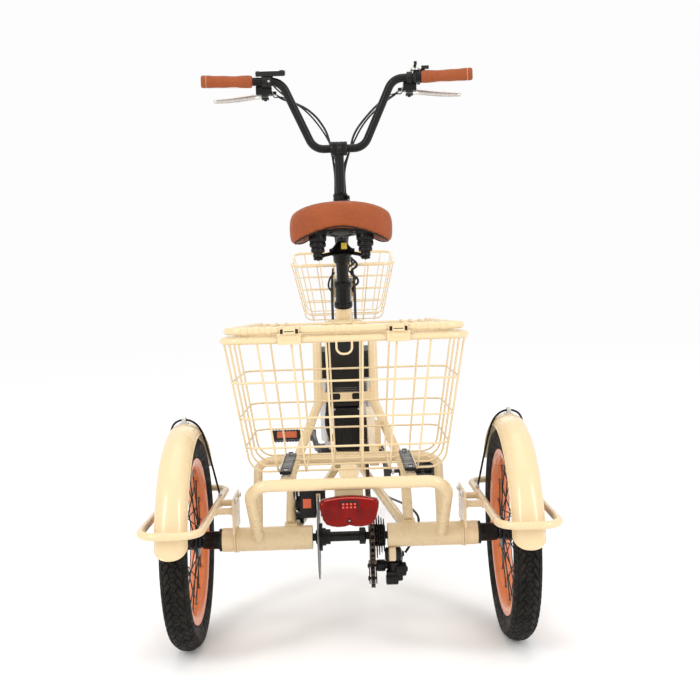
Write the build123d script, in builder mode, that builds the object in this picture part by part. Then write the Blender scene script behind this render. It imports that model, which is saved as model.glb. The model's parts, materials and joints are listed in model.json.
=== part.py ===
from build123d import *
import os
from math import cos, pi, radians, sin

os.makedirs("parts", exist_ok=True)

# ---------------------------------------------------------------------------
# Driving dimensions, in millimetres. X is to the rider's right, Y forwards, Z up.
# at() gives points from the ground under the rear axle; the shared origin lies
# on the ground under the middle of the tricycle's length.
# ---------------------------------------------------------------------------
WHEEL_R = 204.0               # 16 inch tyre, outside radius
TYRE_W = 50.0
WHEELBASE = 1180.0
TRACK_HALF = 311.0            # wheel plane from the middle
GUARD_BACK = 238.0            # guard tube's centre line behind the axle
GUARD_TUBE = 14.0
REAR_Y = -(WHEELBASE + WHEEL_R - GUARD_BACK - GUARD_TUBE / 2) / 2

AXLE_Z = WHEEL_R
BEAD_R = 150.0                # rim bed, where the tyre's beads sit
RIM_EDGE_R = 158.5
RIM_INNER_R = 140.0
RIM_W = 37.0

HOUSING_OD = 46.0             # cream axle housings
HOUSING_IN = 72.0
HOUSING_OUT = 245.0
SLEEVE_OD = 34.0
SLEEVE_OUT = 285.0
SHAFT_D = 15.0
RUNNING_FIT = 0.05            # radial gap of a shaft in its bearing
THREAD_D = 12.0

CRANK_Y = 515.0               # bottom bracket
CRANK_Z = 288.0
CRANK_LENGTH = 166.0
CRANK_TILT = 7.3              # left arm points forwards and this much up
CHAIN_X = 42.0
CHAINRING_R = 85.0
PEDAL_IN = 113.0
PEDAL_OUT = 193.0
PEDAL_X = (PEDAL_IN + PEDAL_OUT) / 2

SEAT_LEAN = 18.1              # seat tube leans back from vertical
SEAT_TUBE_OD = 36.0
SEAT_TUBE_LENGTH = 370.0
COLLAR_LENGTH = 61.0
POST_D = 27.2
POST_TOP = 500.0              # along the seat tube from the crank axis

STEER_LEAN = 16.0             # steering axis leans back from vertical
STEER_FOOT_Y = 1140.0         # where the steering axis is at axle height
FORK_HALF = 64.0
BAR_Z = 1065.0                # handlebar clamp
BAR_D = 22.2
BAR_HALF = 360.0
GRIP_IN = 227.0
GRIP_Z = 1243.0
GRIP_START_Y = 858.0
GRIP_END_Y = 828.0

pieces = {}


# ---------------------------------------------------------------------------
# Helpers
# ---------------------------------------------------------------------------
def at(x, y, z):
    """A point measured from the ground under the rear axle."""
    return (x, REAR_Y + y, z)


def round_bar(points, diameter, bend=30.0, mode=Mode.ADD, close=False):
    """Sweep a round bar along straight runs joined by bends."""
    with BuildLine() as path:
        FilletPolyline(*points, radius=bend, close=close)
    with BuildSketch(Plane(path.line @ 0, z_dir=path.line % 0)) as section:
        Circle(diameter / 2)
    sweep(section.sketch, path=path.line, mode=mode)


def rod(start, end, diameter, mode=Mode.ADD):
    """A straight round bar between two points."""
    axis = Vector(end) - Vector(start)
    with BuildSketch(Plane(start, z_dir=axis)) as section:
        Circle(diameter / 2)
    extrude(section.sketch, amount=axis.length, mode=mode)


def ring(x0, x1, y, z, outer, inner):
    """A collar round an axis along X."""
    rod(at(x0, y, z), at(x1, y, z), outer)
    rod(at(x0 - 1, y, z), at(x1 + 1, y, z), inner, mode=Mode.SUBTRACT)


def block(low, high, mode=Mode.ADD):
    """A box between two corners."""
    size = Vector(high) - Vector(low)
    with Locations((Vector(low) + Vector(high)) / 2):
        Box(size.X, size.Y, size.Z, mode=mode)


def turned(outline, origin, direction=(1, 0, 0), up=(0, 0, 1), arc=360, mode=Mode.ADD):
    """Turn an outline of (distance along, radius) points about an axis."""
    along = Vector(direction).normalized()
    with BuildSketch(Plane(origin, x_dir=along, z_dir=along.cross(Vector(up)))) as section:
        with BuildLine():
            Polyline(*outline, close=True)
        make_face()
    revolve(section.sketch, axis=Axis(origin, along), revolution_arc=arc, mode=mode)


def seat_line(distance, back=0.0, side=0.0):
    """A point along the seat tube from the crank axis, and square behind it."""
    lean = radians(SEAT_LEAN)
    y = CRANK_Y - distance * sin(lean) - back * cos(lean)
    z = CRANK_Z + distance * cos(lean) - back * sin(lean)
    return at(side, y, z)


SEAT_DIR = (0, -sin(radians(SEAT_LEAN)), cos(radians(SEAT_LEAN)))
STEER_DIR = (0, -sin(radians(STEER_LEAN)), cos(radians(STEER_LEAN)))


def steer_line(z, ahead=0.0, side=0.0):
    """The point of the steering axis at height z, shifted ahead and sideways."""
    slope = sin(radians(STEER_LEAN)) / cos(radians(STEER_LEAN))
    return at(side, STEER_FOOT_Y - (z - AXLE_Z) * slope + ahead, z)


def both(x):
    return (-x, x)


# ---------------------------------------------------------------------------
# Frame
# ---------------------------------------------------------------------------
def seat_box(half_width, near, far, low, high):
    """A box lying along the seat tube, between two distances behind it."""
    middle = seat_line((low + high) / 2, back=(near + far) / 2)
    with Locations(Plane(middle, x_dir=(1, 0, 0), z_dir=SEAT_DIR).location):
        Box(2 * half_width, far - near, high - low)


HEAD_LOW_Z = 520.0
HEAD_HIGH_Z = 700.0
HEAD_OD = 44.0
DOWN_TUBE = [steer_line(610), at(0, 845, 392), at(0, 640, 300), at(0, CRANK_Y, CRANK_Z)]
UPPER_TUBE = [steer_line(672), at(0, 850, 500), at(0, 640, 405), seat_line(150)]

with BuildPart() as front_frame:
    rod(seat_line(0), seat_line(SEAT_TUBE_LENGTH), SEAT_TUBE_OD)
    rod(steer_line(HEAD_LOW_Z), steer_line(HEAD_HIGH_Z), HEAD_OD)
    round_bar(DOWN_TUBE, 50, bend=150)
    round_bar(UPPER_TUBE, 32, bend=120)
    rod(at(-34, CRANK_Y, CRANK_Z), at(34, CRANK_Y, CRANK_Z), 42)
    round_bar(DOWN_TUBE, 46, bend=150, mode=Mode.SUBTRACT)
    round_bar(UPPER_TUBE, 28, bend=120, mode=Mode.SUBTRACT)
    rod(seat_line(10), seat_line(SEAT_TUBE_LENGTH + 1), POST_D + 2 * RUNNING_FIT, mode=Mode.SUBTRACT)
    rod(steer_line(HEAD_LOW_Z - 5), steer_line(HEAD_HIGH_Z + 5), 36, mode=Mode.SUBTRACT)
    rod(at(-35, CRANK_Y, CRANK_Z), at(35, CRANK_Y, CRANK_Z), 36, mode=Mode.SUBTRACT)
pieces["front_frame"] = front_frame

STRIP_X = 114.0               # basket clamp strips
STAY_OD = 20.0
STAY_HALF = 62.0
STAY_FOOT_HALF = 114.0
ARCH = [at(-STAY_FOOT_HALF, 15, 226), at(-117, 150, 302), at(-STAY_HALF, 320, 430),
        at(-STAY_HALF, 348, 566), at(-40, 385, 602), at(40, 385, 602), at(STAY_HALF, 348, 566),
        at(STAY_HALF, 320, 430), at(117, 150, 302), at(STAY_FOOT_HALF, 15, 226)]
CROSSBAR_Z = 443.0
CROSSBAR_Y = 323.0

with BuildPart() as rear_frame:
    round_bar(ARCH, STAY_OD, bend=24)
    for side in (-1, 1):
        round_bar([at(side * 24, CRANK_Y - 21, 281), at(side * 28, 410, 270), at(side * 100, 50, 222),
                   at(side * 104, 14, 214)], STAY_OD, bend=24)
        block(at(side * STAY_FOOT_HALF - 12, 0, 218), at(side * STAY_FOOT_HALF + 12, 30, 230))
        block(at(side * STRIP_X - 3, 84, 268), at(side * STRIP_X + 3, 104, 340.8))
        block(at(side * STRIP_X - 9, 80, 337), at(side * STRIP_X + 9, 108, 340.8))
    block(at(-STAY_HALF + 4, CROSSBAR_Y - 8, CROSSBAR_Z - 8.5),
          at(STAY_HALF - 4, CROSSBAR_Y + 8, CROSSBAR_Z + 8.5))
    with BuildSketch(Plane(at(0, CROSSBAR_Y, CROSSBAR_Z), x_dir=(1, 0, 0), z_dir=(0, -1, 0))) as gussets:
        for x in both(STAY_HALF - 10):
            with Locations((x, 0)):
                Polygon((-12, 0), (0, 20), (12, 0), (0, -20), align=None)
    extrude(gussets.sketch, amount=3, both=True)
pieces["rear_frame"] = rear_frame

with BuildPart() as axle_housings:
    for side in (-1, 1):
        x0, x1 = sorted((side * HOUSING_IN, side * HOUSING_OUT))
        ring(x0, x1, 0, AXLE_Z, HOUSING_OD, HOUSING_OD - 4)
pieces["axle_housings"] = axle_housings

with BuildPart() as axle_bearings:
    for side in (-1, 1):
        for x in (HOUSING_IN + 1, HOUSING_OUT - 13):
            x0, x1 = sorted((side * x, side * (x + 12)))
            ring(x0, x1, 0, AXLE_Z, HOUSING_OD - 4.1, SHAFT_D + 2 * RUNNING_FIT)
        x0, x1 = sorted((side * (HOUSING_OUT + 0.2), side * SLEEVE_OUT))
        ring(x0, x1, 0, AXLE_Z, SLEEVE_OD, SHAFT_D + 4)
pieces["axle_bearings"] = axle_bearings

HOOP_Y = -125.0
HOOP_Z = 329.0
HOOP_HALF = 181.0
FRONT_HOOP_Y = 200.0
FRONT_HOOP_Z = 323.0

LIGHT_LOW = 253.0
LIGHT_HIGH = 309.0


def hoop(foot, top, diameter, wall, bend):
    """An upright tube hoop on the axle housings."""
    foot_x, foot_y, foot_z = foot
    top_x, top_y, top_z = top
    path = [at(-foot_x, foot_y, foot_z), at(-top_x, top_y, top_z),
            at(top_x, top_y, top_z), at(foot_x, foot_y, foot_z)]
    round_bar(path, diameter, bend=bend)
    round_bar(path, diameter - 2 * wall, bend=bend, mode=Mode.SUBTRACT)


with BuildPart() as rack_hoops:
    hoop((175, -22, 212), (HOOP_HALF, HOOP_Y, HOOP_Z), 22, 2, 38)
    hoop((178, 16, 222), (190, FRONT_HOOP_Y, FRONT_HOOP_Z), 19, 1.7, 32)
    for x in both(STRIP_X):
        block(at(x - 9, HOOP_Y - 4, HOOP_Z + 9.6), at(x + 9, -84, HOOP_Z + 11.7))
    with BuildSketch(Plane.XY.offset(HOOP_Z - 4)) as plate:
        with Locations((0, REAR_Y + HOOP_Y + 41)):
            Trapezoid(84, 56, 64)
    extrude(plate.sketch, amount=3)
    block(at(-26, HOOP_Y + 3.2, LIGHT_LOW + 12), at(26, HOOP_Y + 6, HOOP_Z - 9.6))
    for x in both(16):
        rod(at(x, HOOP_Y + 5, LIGHT_LOW + 24), at(x, HOOP_Y + 9, LIGHT_LOW + 24), 8)
pieces["rack_hoops"] = rack_hoops

GUARD_Z = 268.0
GUARD_IN = 257.0
GUARD_OUT = 363.0
GUARD_FRONT = 208.0
GUARD_PLATE = 218.0


def wheel_guard(side):
    """A tube loop round one wheel, on two short tubes and an upright plate."""
    corners = [at(side * GUARD_OUT, 0, GUARD_Z), at(side * GUARD_OUT, GUARD_FRONT, GUARD_Z),
               at(side * GUARD_IN, GUARD_FRONT, GUARD_Z), at(side * GUARD_IN, 0, GUARD_Z)]
    round_bar(corners, GUARD_TUBE, bend=38)
    corners = [at(side * GUARD_OUT, 0, GUARD_Z), at(side * GUARD_OUT, -GUARD_BACK, GUARD_Z),
               at(side * GUARD_IN, -GUARD_BACK, GUARD_Z), at(side * GUARD_IN, 0, GUARD_Z)]
    round_bar(corners, GUARD_TUBE, bend=38)
    for y in both(40):
        rod(at(side * GUARD_PLATE, y, GUARD_Z), at(side * GUARD_IN, y, GUARD_Z), 13)
    x0, x1 = sorted((side * (GUARD_PLATE - 2), side * (GUARD_PLATE + 2)))
    block(at(x0, -52, AXLE_Z + 20), at(x1, 52, GUARD_Z + 24))
    rod(at(x0 - 1, 0, AXLE_Z), at(x1 + 1, 0, AXLE_Z), HOUSING_OD, mode=Mode.SUBTRACT)


with BuildPart() as wheel_guards:
    for side in (-1, 1):
        wheel_guard(side)
pieces["wheel_guards"] = wheel_guards

FENDER_R = 228.0
FENDER_W = 56.0
FENDER_SHEET = 1.6


def fender(centre, half_width, front_angle, arc):
    """A crowned sheet over a wheel, from front_angle above level, backwards."""
    sheet = FENDER_SHEET
    drop = 22.0
    steps = [(-1.0, drop), (-0.9, 8), (-0.6, 2), (0, 0), (0.6, 2), (0.9, 8), (1.0, drop)]
    outer = [(half_width * share, FENDER_R - fall) for share, fall in steps]
    inner = [((half_width - sheet) * share, FENDER_R - sheet - fall) for share, fall in reversed(steps)]
    start = radians(front_angle)
    turned(outer + inner, centre, up=(0, cos(start), sin(start)), arc=arc)


with BuildPart() as rear_fenders:
    for side in (-1, 1):
        fender(at(side * TRACK_HALF, 0, AXLE_Z), FENDER_W / 2, 30, 145)
pieces["rear_fenders"] = rear_fenders

with BuildPart() as fender_stays:
    for side in (-1, 1):
        feet = [at(side * 258, 80, 277.2), at(side * 270, 34, 404), at(side * 286, 4, 441),
                at(side * 336, 4, 441), at(side * 352, 34, 404), at(side * 364, 80, 277.2)]
        round_bar(feet, 4, bend=12)
        block(at(side * TRACK_HALF - 6, -6, 433), at(side * TRACK_HALF + 6, 10, 442))
pieces["fender_stays"] = fender_stays


# ---------------------------------------------------------------------------
# Baskets
# ---------------------------------------------------------------------------
def basket(plane, top, bottom, rim_d, wire, columns, rows, levels, floor_bend):
    """
    A tapered wire basket. plane lies in the rim with its origin at the rim's
    middle. top is (half width, half depth), bottom is (half width, half depth,
    depth below the rim). columns and rows are shares of the half width and
    half depth, and levels are shares of the height, where wires run.
    """
    top_w, top_d = top
    low_w, low_d, height = bottom

    def spot(u, v, down):
        """A wall point: u and v run from -1 to 1, down from 0 to 1."""
        half_w = top_w + (low_w - top_w) * down
        half_d = top_d + (low_d - top_d) * down
        return plane.from_local_coords(Vector(u * half_w, v * half_d, -height * down))

    def loop(down, diameter, corner):
        corners = [spot(-1, 0, down), spot(-1, 1, down), spot(1, 1, down), spot(1, 0, down)]
        round_bar(corners, diameter, bend=corner)
        corners = [spot(1, 0, down), spot(1, -1, down), spot(-1, -1, down), spot(-1, 0, down)]
        round_bar(corners, diameter, bend=corner)

    loop(0, rim_d, 38)
    for level in levels:
        loop(level, wire, 30)
    for u in columns:
        round_bar([spot(u, -1, 0), spot(u, -1, 1), spot(u, 1, 1), spot(u, 1, 0)], wire, bend=floor_bend)
    for v in rows:
        round_bar([spot(-1, v, 0), spot(-1, v, 1), spot(1, v, 1), spot(1, v, 0)], wire, bend=floor_bend)


BASKET_Z = 591.0
BASKET_BACK = -115.0
BASKET_FRONT = 205.0
BASKET_HALF = 222.0
BASKET_RIM_D = 13.0
BASKET_MID_Y = (BASKET_BACK + BASKET_FRONT) / 2
BASKET_FLOOR_Z = 343.0
HINGE_X = 98.0                # lid hinges, behind the two rim bars
HINGE_Y = BASKET_BACK - 8.5
HINGE_Z = 600.0

with BuildPart() as rear_basket:
    basket(Plane(at(0, BASKET_MID_Y, BASKET_Z)), (BASKET_HALF, 160), (180.5, 130, BASKET_Z - BASKET_FLOOR_Z),
           BASKET_RIM_D, 4, (-0.71, -0.43, -0.15, 0.15, 0.43, 0.71), (-0.75, -0.25, 0.25, 0.75),
           (0.31, 0.58, 0.8), 34)
    loop_top = BASKET_Z - 4
    round_bar([at(-14, BASKET_BACK - 3, loop_top), at(-14, BASKET_BACK - 2, loop_top - 24),
               at(14, BASKET_BACK - 2, loop_top - 24), at(14, BASKET_BACK - 3, loop_top)], 4, bend=12)
    for x in both(HINGE_X):
        block(at(x - 21, HINGE_Y - 0.8, BASKET_Z - 8), at(x + 21, HINGE_Y + 0.8, HINGE_Z - 1.6))
        block(at(x - 21, HINGE_Y, BASKET_Z - 8), at(x + 21, BASKET_BACK, BASKET_Z - 6))
pieces["rear_basket"] = rear_basket

LID_Z = 609.0
LID_HALF = 218.0
LID_FRONT_HALF = 175.0

with BuildPart() as basket_lid:
    round_bar([at(-LID_FRONT_HALF, BASKET_FRONT, LID_Z), at(-LID_HALF, BASKET_BACK, LID_Z),
               at(LID_HALF, BASKET_BACK, LID_Z), at(LID_FRONT_HALF, BASKET_FRONT, LID_Z)],
              BASKET_RIM_D, bend=32)
    rod(at(-LID_FRONT_HALF, BASKET_FRONT, LID_Z), at(LID_FRONT_HALF, BASKET_FRONT, LID_Z), 5)
    for group in (-0.8, 0, 0.8):
        for shift in (-0.11, 0, 0.11):
            share = group + shift
            rod(at(share * LID_FRONT_HALF, BASKET_FRONT, LID_Z),
                at(share * LID_HALF * 0.9, BASKET_BACK, LID_Z), 4)
    for x in both(HINGE_X):
        rod(at(x - 21, HINGE_Y, HINGE_Z), at(x + 21, HINGE_Y, HINGE_Z), 2.4)
        block(at(x - 18, HINGE_Y - 0.8, HINGE_Z + 0.5), at(x + 18, HINGE_Y + 0.8, LID_Z + 7))
        block(at(x - 18, HINGE_Y - 0.8, LID_Z + 5.4), at(x + 18, BASKET_BACK + 3, LID_Z + 7))
pieces["basket_lid"] = basket_lid

with BuildPart() as basket_clamps:
    for x in both(STRIP_X):
        block(at(x - 10.5, -105, BASKET_FLOOR_Z + 2.4), at(x + 10.5, 110, BASKET_FLOOR_Z + 8.4))
        for y in (-95, 95):
            rod(at(x, y, BASKET_FLOOR_Z + 8), at(x, y, BASKET_FLOOR_Z + 13), 10)
        for notch in range(9):
            y = -90 + 22 * notch
            for edge in (x - 10.5, x + 10.5):
                rod(at(edge, y, BASKET_FLOOR_Z), at(edge, y, BASKET_FLOOR_Z + 12), 8, mode=Mode.SUBTRACT)
pieces["basket_clamps"] = basket_clamps

FRONT_RIM_TILT = 10.4
FRONT_RIM_MID = at(0, 1165, 774)
tilt = radians(FRONT_RIM_TILT)
front_rim_plane = Plane(FRONT_RIM_MID, x_dir=(1, 0, 0), z_dir=(0, -sin(tilt), cos(tilt)))
with BuildPart() as front_basket:
    basket(front_rim_plane, (149, 127), (112, 100, 172), 8, 3.2, (-0.8, -0.5, -0.18, 0.18, 0.5, 0.8),
           (-0.66, 0, 0.66), (0.2, 0.42, 0.64, 0.85), 22)
    for x in both(30):
        block(at(x - 4, 1038, 648), at(x + 4, 1064, 712))
    block(at(-34, 1034.5, 660), at(34, 1039, 700))
pieces["front_basket"] = front_basket


# ---------------------------------------------------------------------------
# Battery, controller, light, guards and brake on the frame
# ---------------------------------------------------------------------------
with BuildPart() as battery_pack:
    seat_box(42, 22, 84, 158, 318)
    fillet(battery_pack.edges().filter_by(Axis(seat_line(0), SEAT_DIR)), 10)
pieces["battery_pack"] = battery_pack

with BuildPart() as controller_box:
    seat_box(32.5, 22, 76, 40, 152)
    fillet(controller_box.edges().filter_by(Axis(seat_line(0), SEAT_DIR)), 5)
pieces["controller_box"] = controller_box

LIGHT_HALF = 54.0
with BuildPart() as tail_light:
    with BuildSketch(Plane(at(0, HOOP_Y + 3, 0), x_dir=(1, 0, 0), z_dir=(0, -1, 0))) as lens:
        with BuildLine():
            ThreePointArc((-LIGHT_HALF, LIGHT_HIGH - 12), (0, LIGHT_HIGH), (LIGHT_HALF, LIGHT_HIGH - 12))
            Polyline((LIGHT_HALF, LIGHT_HIGH - 12), (LIGHT_HALF - 14, LIGHT_LOW + 6),
                     (LIGHT_HALF - 24, LIGHT_LOW), (8, LIGHT_LOW), (0, LIGHT_LOW + 5), (-8, LIGHT_LOW),
                     (-LIGHT_HALF + 24, LIGHT_LOW), (-LIGHT_HALF + 14, LIGHT_LOW + 6),
                     (-LIGHT_HALF, LIGHT_HIGH - 12))
        make_face()
    extrude(lens.sketch, amount=24)
    fillet(tail_light.faces().sort_by(Axis.Y)[0].edges(), 3)
pieces["tail_light"] = tail_light

GUARD_TAIL_Y = 235.0
GUARD_TAIL_Z = 322.0
with BuildPart() as chain_guard:
    with BuildSketch(Plane.YZ.offset(46)) as hood:
        for radius, tail, mode in ((108, 24, Mode.ADD), (106, 22, Mode.SUBTRACT)):
            with BuildSketch(mode=Mode.PRIVATE) as outline:
                with Locations((REAR_Y + CRANK_Y, CRANK_Z)):
                    Circle(radius)
                with Locations((REAR_Y + GUARD_TAIL_Y, GUARD_TAIL_Z)):
                    Circle(tail)
                make_hull()
            add(outline.sketch, mode=mode)
        with Locations((REAR_Y + 400, CRANK_Z - 86)):
            Rectangle(600, 200, mode=Mode.SUBTRACT)
    extrude(hood.sketch, amount=20)
    with BuildSketch(Plane.YZ.offset(64)) as skirt:
        with BuildSketch(mode=Mode.PRIVATE) as outline:
            with Locations((REAR_Y + CRANK_Y, CRANK_Z)):
                Circle(108)
            with Locations((REAR_Y + GUARD_TAIL_Y, GUARD_TAIL_Z)):
                Circle(24)
            make_hull()
        add(outline.sketch)
        with Locations((REAR_Y + CRANK_Y, CRANK_Z)):
            Circle(72, mode=Mode.SUBTRACT)
        with Locations((REAR_Y + 400, CRANK_Z - 86)):
            Rectangle(600, 200, mode=Mode.SUBTRACT)
    extrude(skirt.sketch, amount=2)
    block(at(60, GUARD_TAIL_Y + 4, GUARD_TAIL_Z + 12), at(72, GUARD_TAIL_Y + 18, GUARD_TAIL_Z + 74))
pieces["chain_guard"] = chain_guard

ROTOR_X = -60.0
ROTOR_R = 80.0
with BuildPart() as brake_caliper:
    block(at(-97, 22, 234), at(-46, 62, 292))
    fillet(brake_caliper.edges().filter_by(Axis.X), 6)
    block(at(ROTOR_X - 3, 15, 225), at(ROTOR_X + 3, 70, 287), mode=Mode.SUBTRACT)
    block(at(-112, 34, 222), at(-90, 58, 244))
    rod(at(-104, 40, 262), at(-96, 40, 262), 26)
pieces["brake_caliper"] = brake_caliper


# ---------------------------------------------------------------------------
# Wheels
# ---------------------------------------------------------------------------
def tyre(centre):
    """An open tyre with its two beads in the rim."""
    with BuildPart() as casing:
        half = TYRE_W / 2
        outer = [(-14.5, BEAD_R + 0.5), (-14.5, 159.5), (-18, 160.5), (-half + 1.5, 170), (-half, 181),
                 (-half + 1, 190), (-half + 6, 198), (-half + 14, 202.5), (0, WHEEL_R)]
        inner = [(0, WHEEL_R - 6), (-half + 12, 195), (-half + 5, 188), (-half + 4, 181), (-half + 7, 170),
                 (-10.5, 161), (-10.5, BEAD_R + 0.5)]
        left = outer + inner
        turned(left, centre)
        mirrored = [(-along, radius) for along, radius in left]
        turned(mirrored, centre)
    return casing


def rim(centre):
    """A box-section rim with a bed for the beads."""
    with BuildPart() as hoop:
        edge = RIM_W / 2
        bed = edge - 3.3
        turned([(-edge, RIM_EDGE_R), (-bed, RIM_EDGE_R), (-bed, BEAD_R), (bed, BEAD_R), (bed, RIM_EDGE_R),
                (edge, RIM_EDGE_R), (edge, 148), (12, RIM_INNER_R), (-12, RIM_INNER_R), (-edge, 148)], centre)
    return hoop


def spoked_hub(centre, barrel, bore, flange_r, flange_x, count=36):
    """A hub turned from an outline, with spokes reaching the rim's inside."""
    with BuildPart() as hub:
        turned(barrel, centre)
        for index in range(count):
            angle = 2 * pi * index / count
            side = flange_x if index % 2 else -flange_x
            spoke = Vector(0, cos(angle), sin(angle))
            start = Vector(centre) + Vector(side, 0, 0) + spoke * (flange_r - 5)
            end = Vector(centre) + Vector(side * 0.25, 0, 0) + spoke * (RIM_INNER_R + 1)
            rod(start, end, 2.6)
        rod(Vector(centre) - Vector(60, 0, 0), Vector(centre) + Vector(60, 0, 0), bore, mode=Mode.SUBTRACT)
        turned([(-20, RIM_INNER_R - 0.1), (20, RIM_INNER_R - 0.1), (20, RIM_INNER_R + 8),
                (-20, RIM_INNER_R + 8)], centre, mode=Mode.SUBTRACT)
    return hub


HUB_OUTLINE = [(-24, 5), (-24, 14), (-20, 14), (-20, 29), (-17, 29), (-17, 16), (17, 16), (17, 29), (20, 29),
               (20, 14), (24, 14), (24, 5)]
for name, side in (("left", -1), ("right", 1)):
    middle = at(side * TRACK_HALF, 0, AXLE_Z)
    pieces["rear_tyre_" + name] = tyre(middle)
    pieces["rear_rim_" + name] = rim(middle)
    pieces["rear_hub_" + name] = spoked_hub(middle, HUB_OUTLINE, SHAFT_D + 2 * RUNNING_FIT, 29, 18.5)

FRONT_HUB = at(0, WHEELBASE, AXLE_Z)
MOTOR_OUTLINE = [(-40, 5), (-40, 18), (-32, 20), (-28, 56), (-20, 60), (-20, 66), (-16, 66), (-16, 60),
                 (16, 60), (16, 66), (20, 66), (20, 60), (28, 56), (32, 20), (40, 18), (40, 5)]
pieces["front_tyre"] = tyre(FRONT_HUB)
pieces["front_rim"] = rim(FRONT_HUB)
pieces["front_hub"] = spoked_hub(FRONT_HUB, MOTOR_OUTLINE, THREAD_D + 2 * RUNNING_FIT, 66, 18)

def hex_nut(x, side, y):
    """A nut on an axle end, its flats square to the axle."""
    with BuildSketch(Plane(at(x, y, AXLE_Z), z_dir=(side, 0, 0))) as nut:
        RegularPolygon(9.5, 6, major_radius=False)
    extrude(nut.sketch, amount=9)


with BuildPart() as front_axle:
    rod(at(-88, WHEELBASE, AXLE_Z), at(88, WHEELBASE, AXLE_Z), THREAD_D)
    for side in (-1, 1):
        hex_nut(side * 71.5, side, WHEELBASE)
pieces["front_axle"] = front_axle


# ---------------------------------------------------------------------------
# Drive train
# ---------------------------------------------------------------------------
with BuildPart() as drive_axle:
    rod(at(-336, 0, AXLE_Z), at(336, 0, AXLE_Z), SHAFT_D)
    for side in (-1, 1):
        rod(at(side * 336, 0, AXLE_Z), at(side * 354, 0, AXLE_Z), THREAD_D)
        hex_nut(side * 336.4, side, 0)
    rod(at(-37, 0, AXLE_Z), at(18, 0, AXLE_Z), 19)
    rod(at(-53, 0, AXLE_Z), at(-37, 0, AXLE_Z), 33)
    rod(at(ROTOR_X + 1.2, 0, AXLE_Z), at(-53, 0, AXLE_Z), 53)
    rod(at(18, 0, AXLE_Z), at(31, 0, AXLE_Z), 32)
pieces["drive_axle"] = drive_axle

with BuildPart() as brake_rotor:
    rotor_centre = at(ROTOR_X, 0, AXLE_Z)
    turned([(-1, 7.7), (1, 7.7), (1, ROTOR_R), (-1, ROTOR_R)], rotor_centre)
    rotor_plane = Plane(rotor_centre, x_dir=(0, 1, 0), z_dir=(1, 0, 0))
    with BuildSketch(rotor_plane) as holes:
        with PolarLocations(70, 24):
            Circle(3)
        with PolarLocations(45, 6):
            RectangleRounded(26, 20, 5)
    extrude(holes.sketch, amount=3, both=True, mode=Mode.SUBTRACT)
pieces["brake_rotor"] = brake_rotor

COG_RADII = [57, 51, 45, 40, 35, 31, 28]
COG_PITCH = 4.6
with BuildPart() as freewheel:
    first = CHAIN_X - COG_PITCH
    rod(at(first - 1.2, 0, AXLE_Z), at(first + 6 * COG_PITCH + 1.2, 0, AXLE_Z), 44)
    for index, radius in enumerate(COG_RADII):
        x = first + index * COG_PITCH
        rod(at(x - 0.9, 0, AXLE_Z), at(x + 0.9, 0, AXLE_Z), 2 * radius)
    rod(at(30, 0, AXLE_Z), at(80, 0, AXLE_Z), SHAFT_D + 2 * RUNNING_FIT, mode=Mode.SUBTRACT)
pieces["freewheel"] = freewheel

JOCKEY_R = 15.0
UPPER_JOCKEY = (26.0, 138.0)
LOWER_JOCKEY = (-6.0, 122.0)
LINK_SHEET = 1.4
with BuildPart() as chain:
    for x in (CHAIN_X - 3.2, CHAIN_X + 3.2 - LINK_SHEET):
        with BuildSketch(Plane.YZ.offset(x)) as links:
            for grow, mode in ((4, Mode.ADD), (-4, Mode.SUBTRACT)):
                with BuildSketch(mode=Mode.PRIVATE) as outline:
                    for y, z, radius in ((CRANK_Y, CRANK_Z, CHAINRING_R), (0, AXLE_Z, COG_RADII[1]),
                                         (LOWER_JOCKEY[0], LOWER_JOCKEY[1], JOCKEY_R)):
                        with Locations((REAR_Y + y, z)):
                            Circle(radius + grow)
                    make_hull()
                add(outline.sketch, mode=mode)
        extrude(links.sketch, amount=LINK_SHEET)
pieces["chain"] = chain


def teeth(plane, radius, count, thickness):
    """A toothed disc."""
    with BuildSketch(plane) as disc:
        Circle(radius)
        with PolarLocations(radius + 3, count):
            Circle(4.2, mode=Mode.SUBTRACT)
    extrude(disc.sketch, amount=thickness / 2, both=True)


lift = radians(CRANK_TILT)
LEFT_PEDAL = (CRANK_Y + CRANK_LENGTH * cos(lift), CRANK_Z + CRANK_LENGTH * sin(lift))
RIGHT_PEDAL = (CRANK_Y - CRANK_LENGTH * cos(lift), CRANK_Z - CRANK_LENGTH * sin(lift))


def crank_arm(points):
    """A flat arm, swept along a gentle bend outwards."""
    with BuildLine() as path:
        FilletPolyline(*points, radius=60)
    with BuildSketch(Plane(path.line @ 0, x_dir=(0, 0, 1), z_dir=path.line % 0)) as section:
        RectangleRounded(24, 13, 5)
    sweep(section.sketch, path=path.line)


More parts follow.
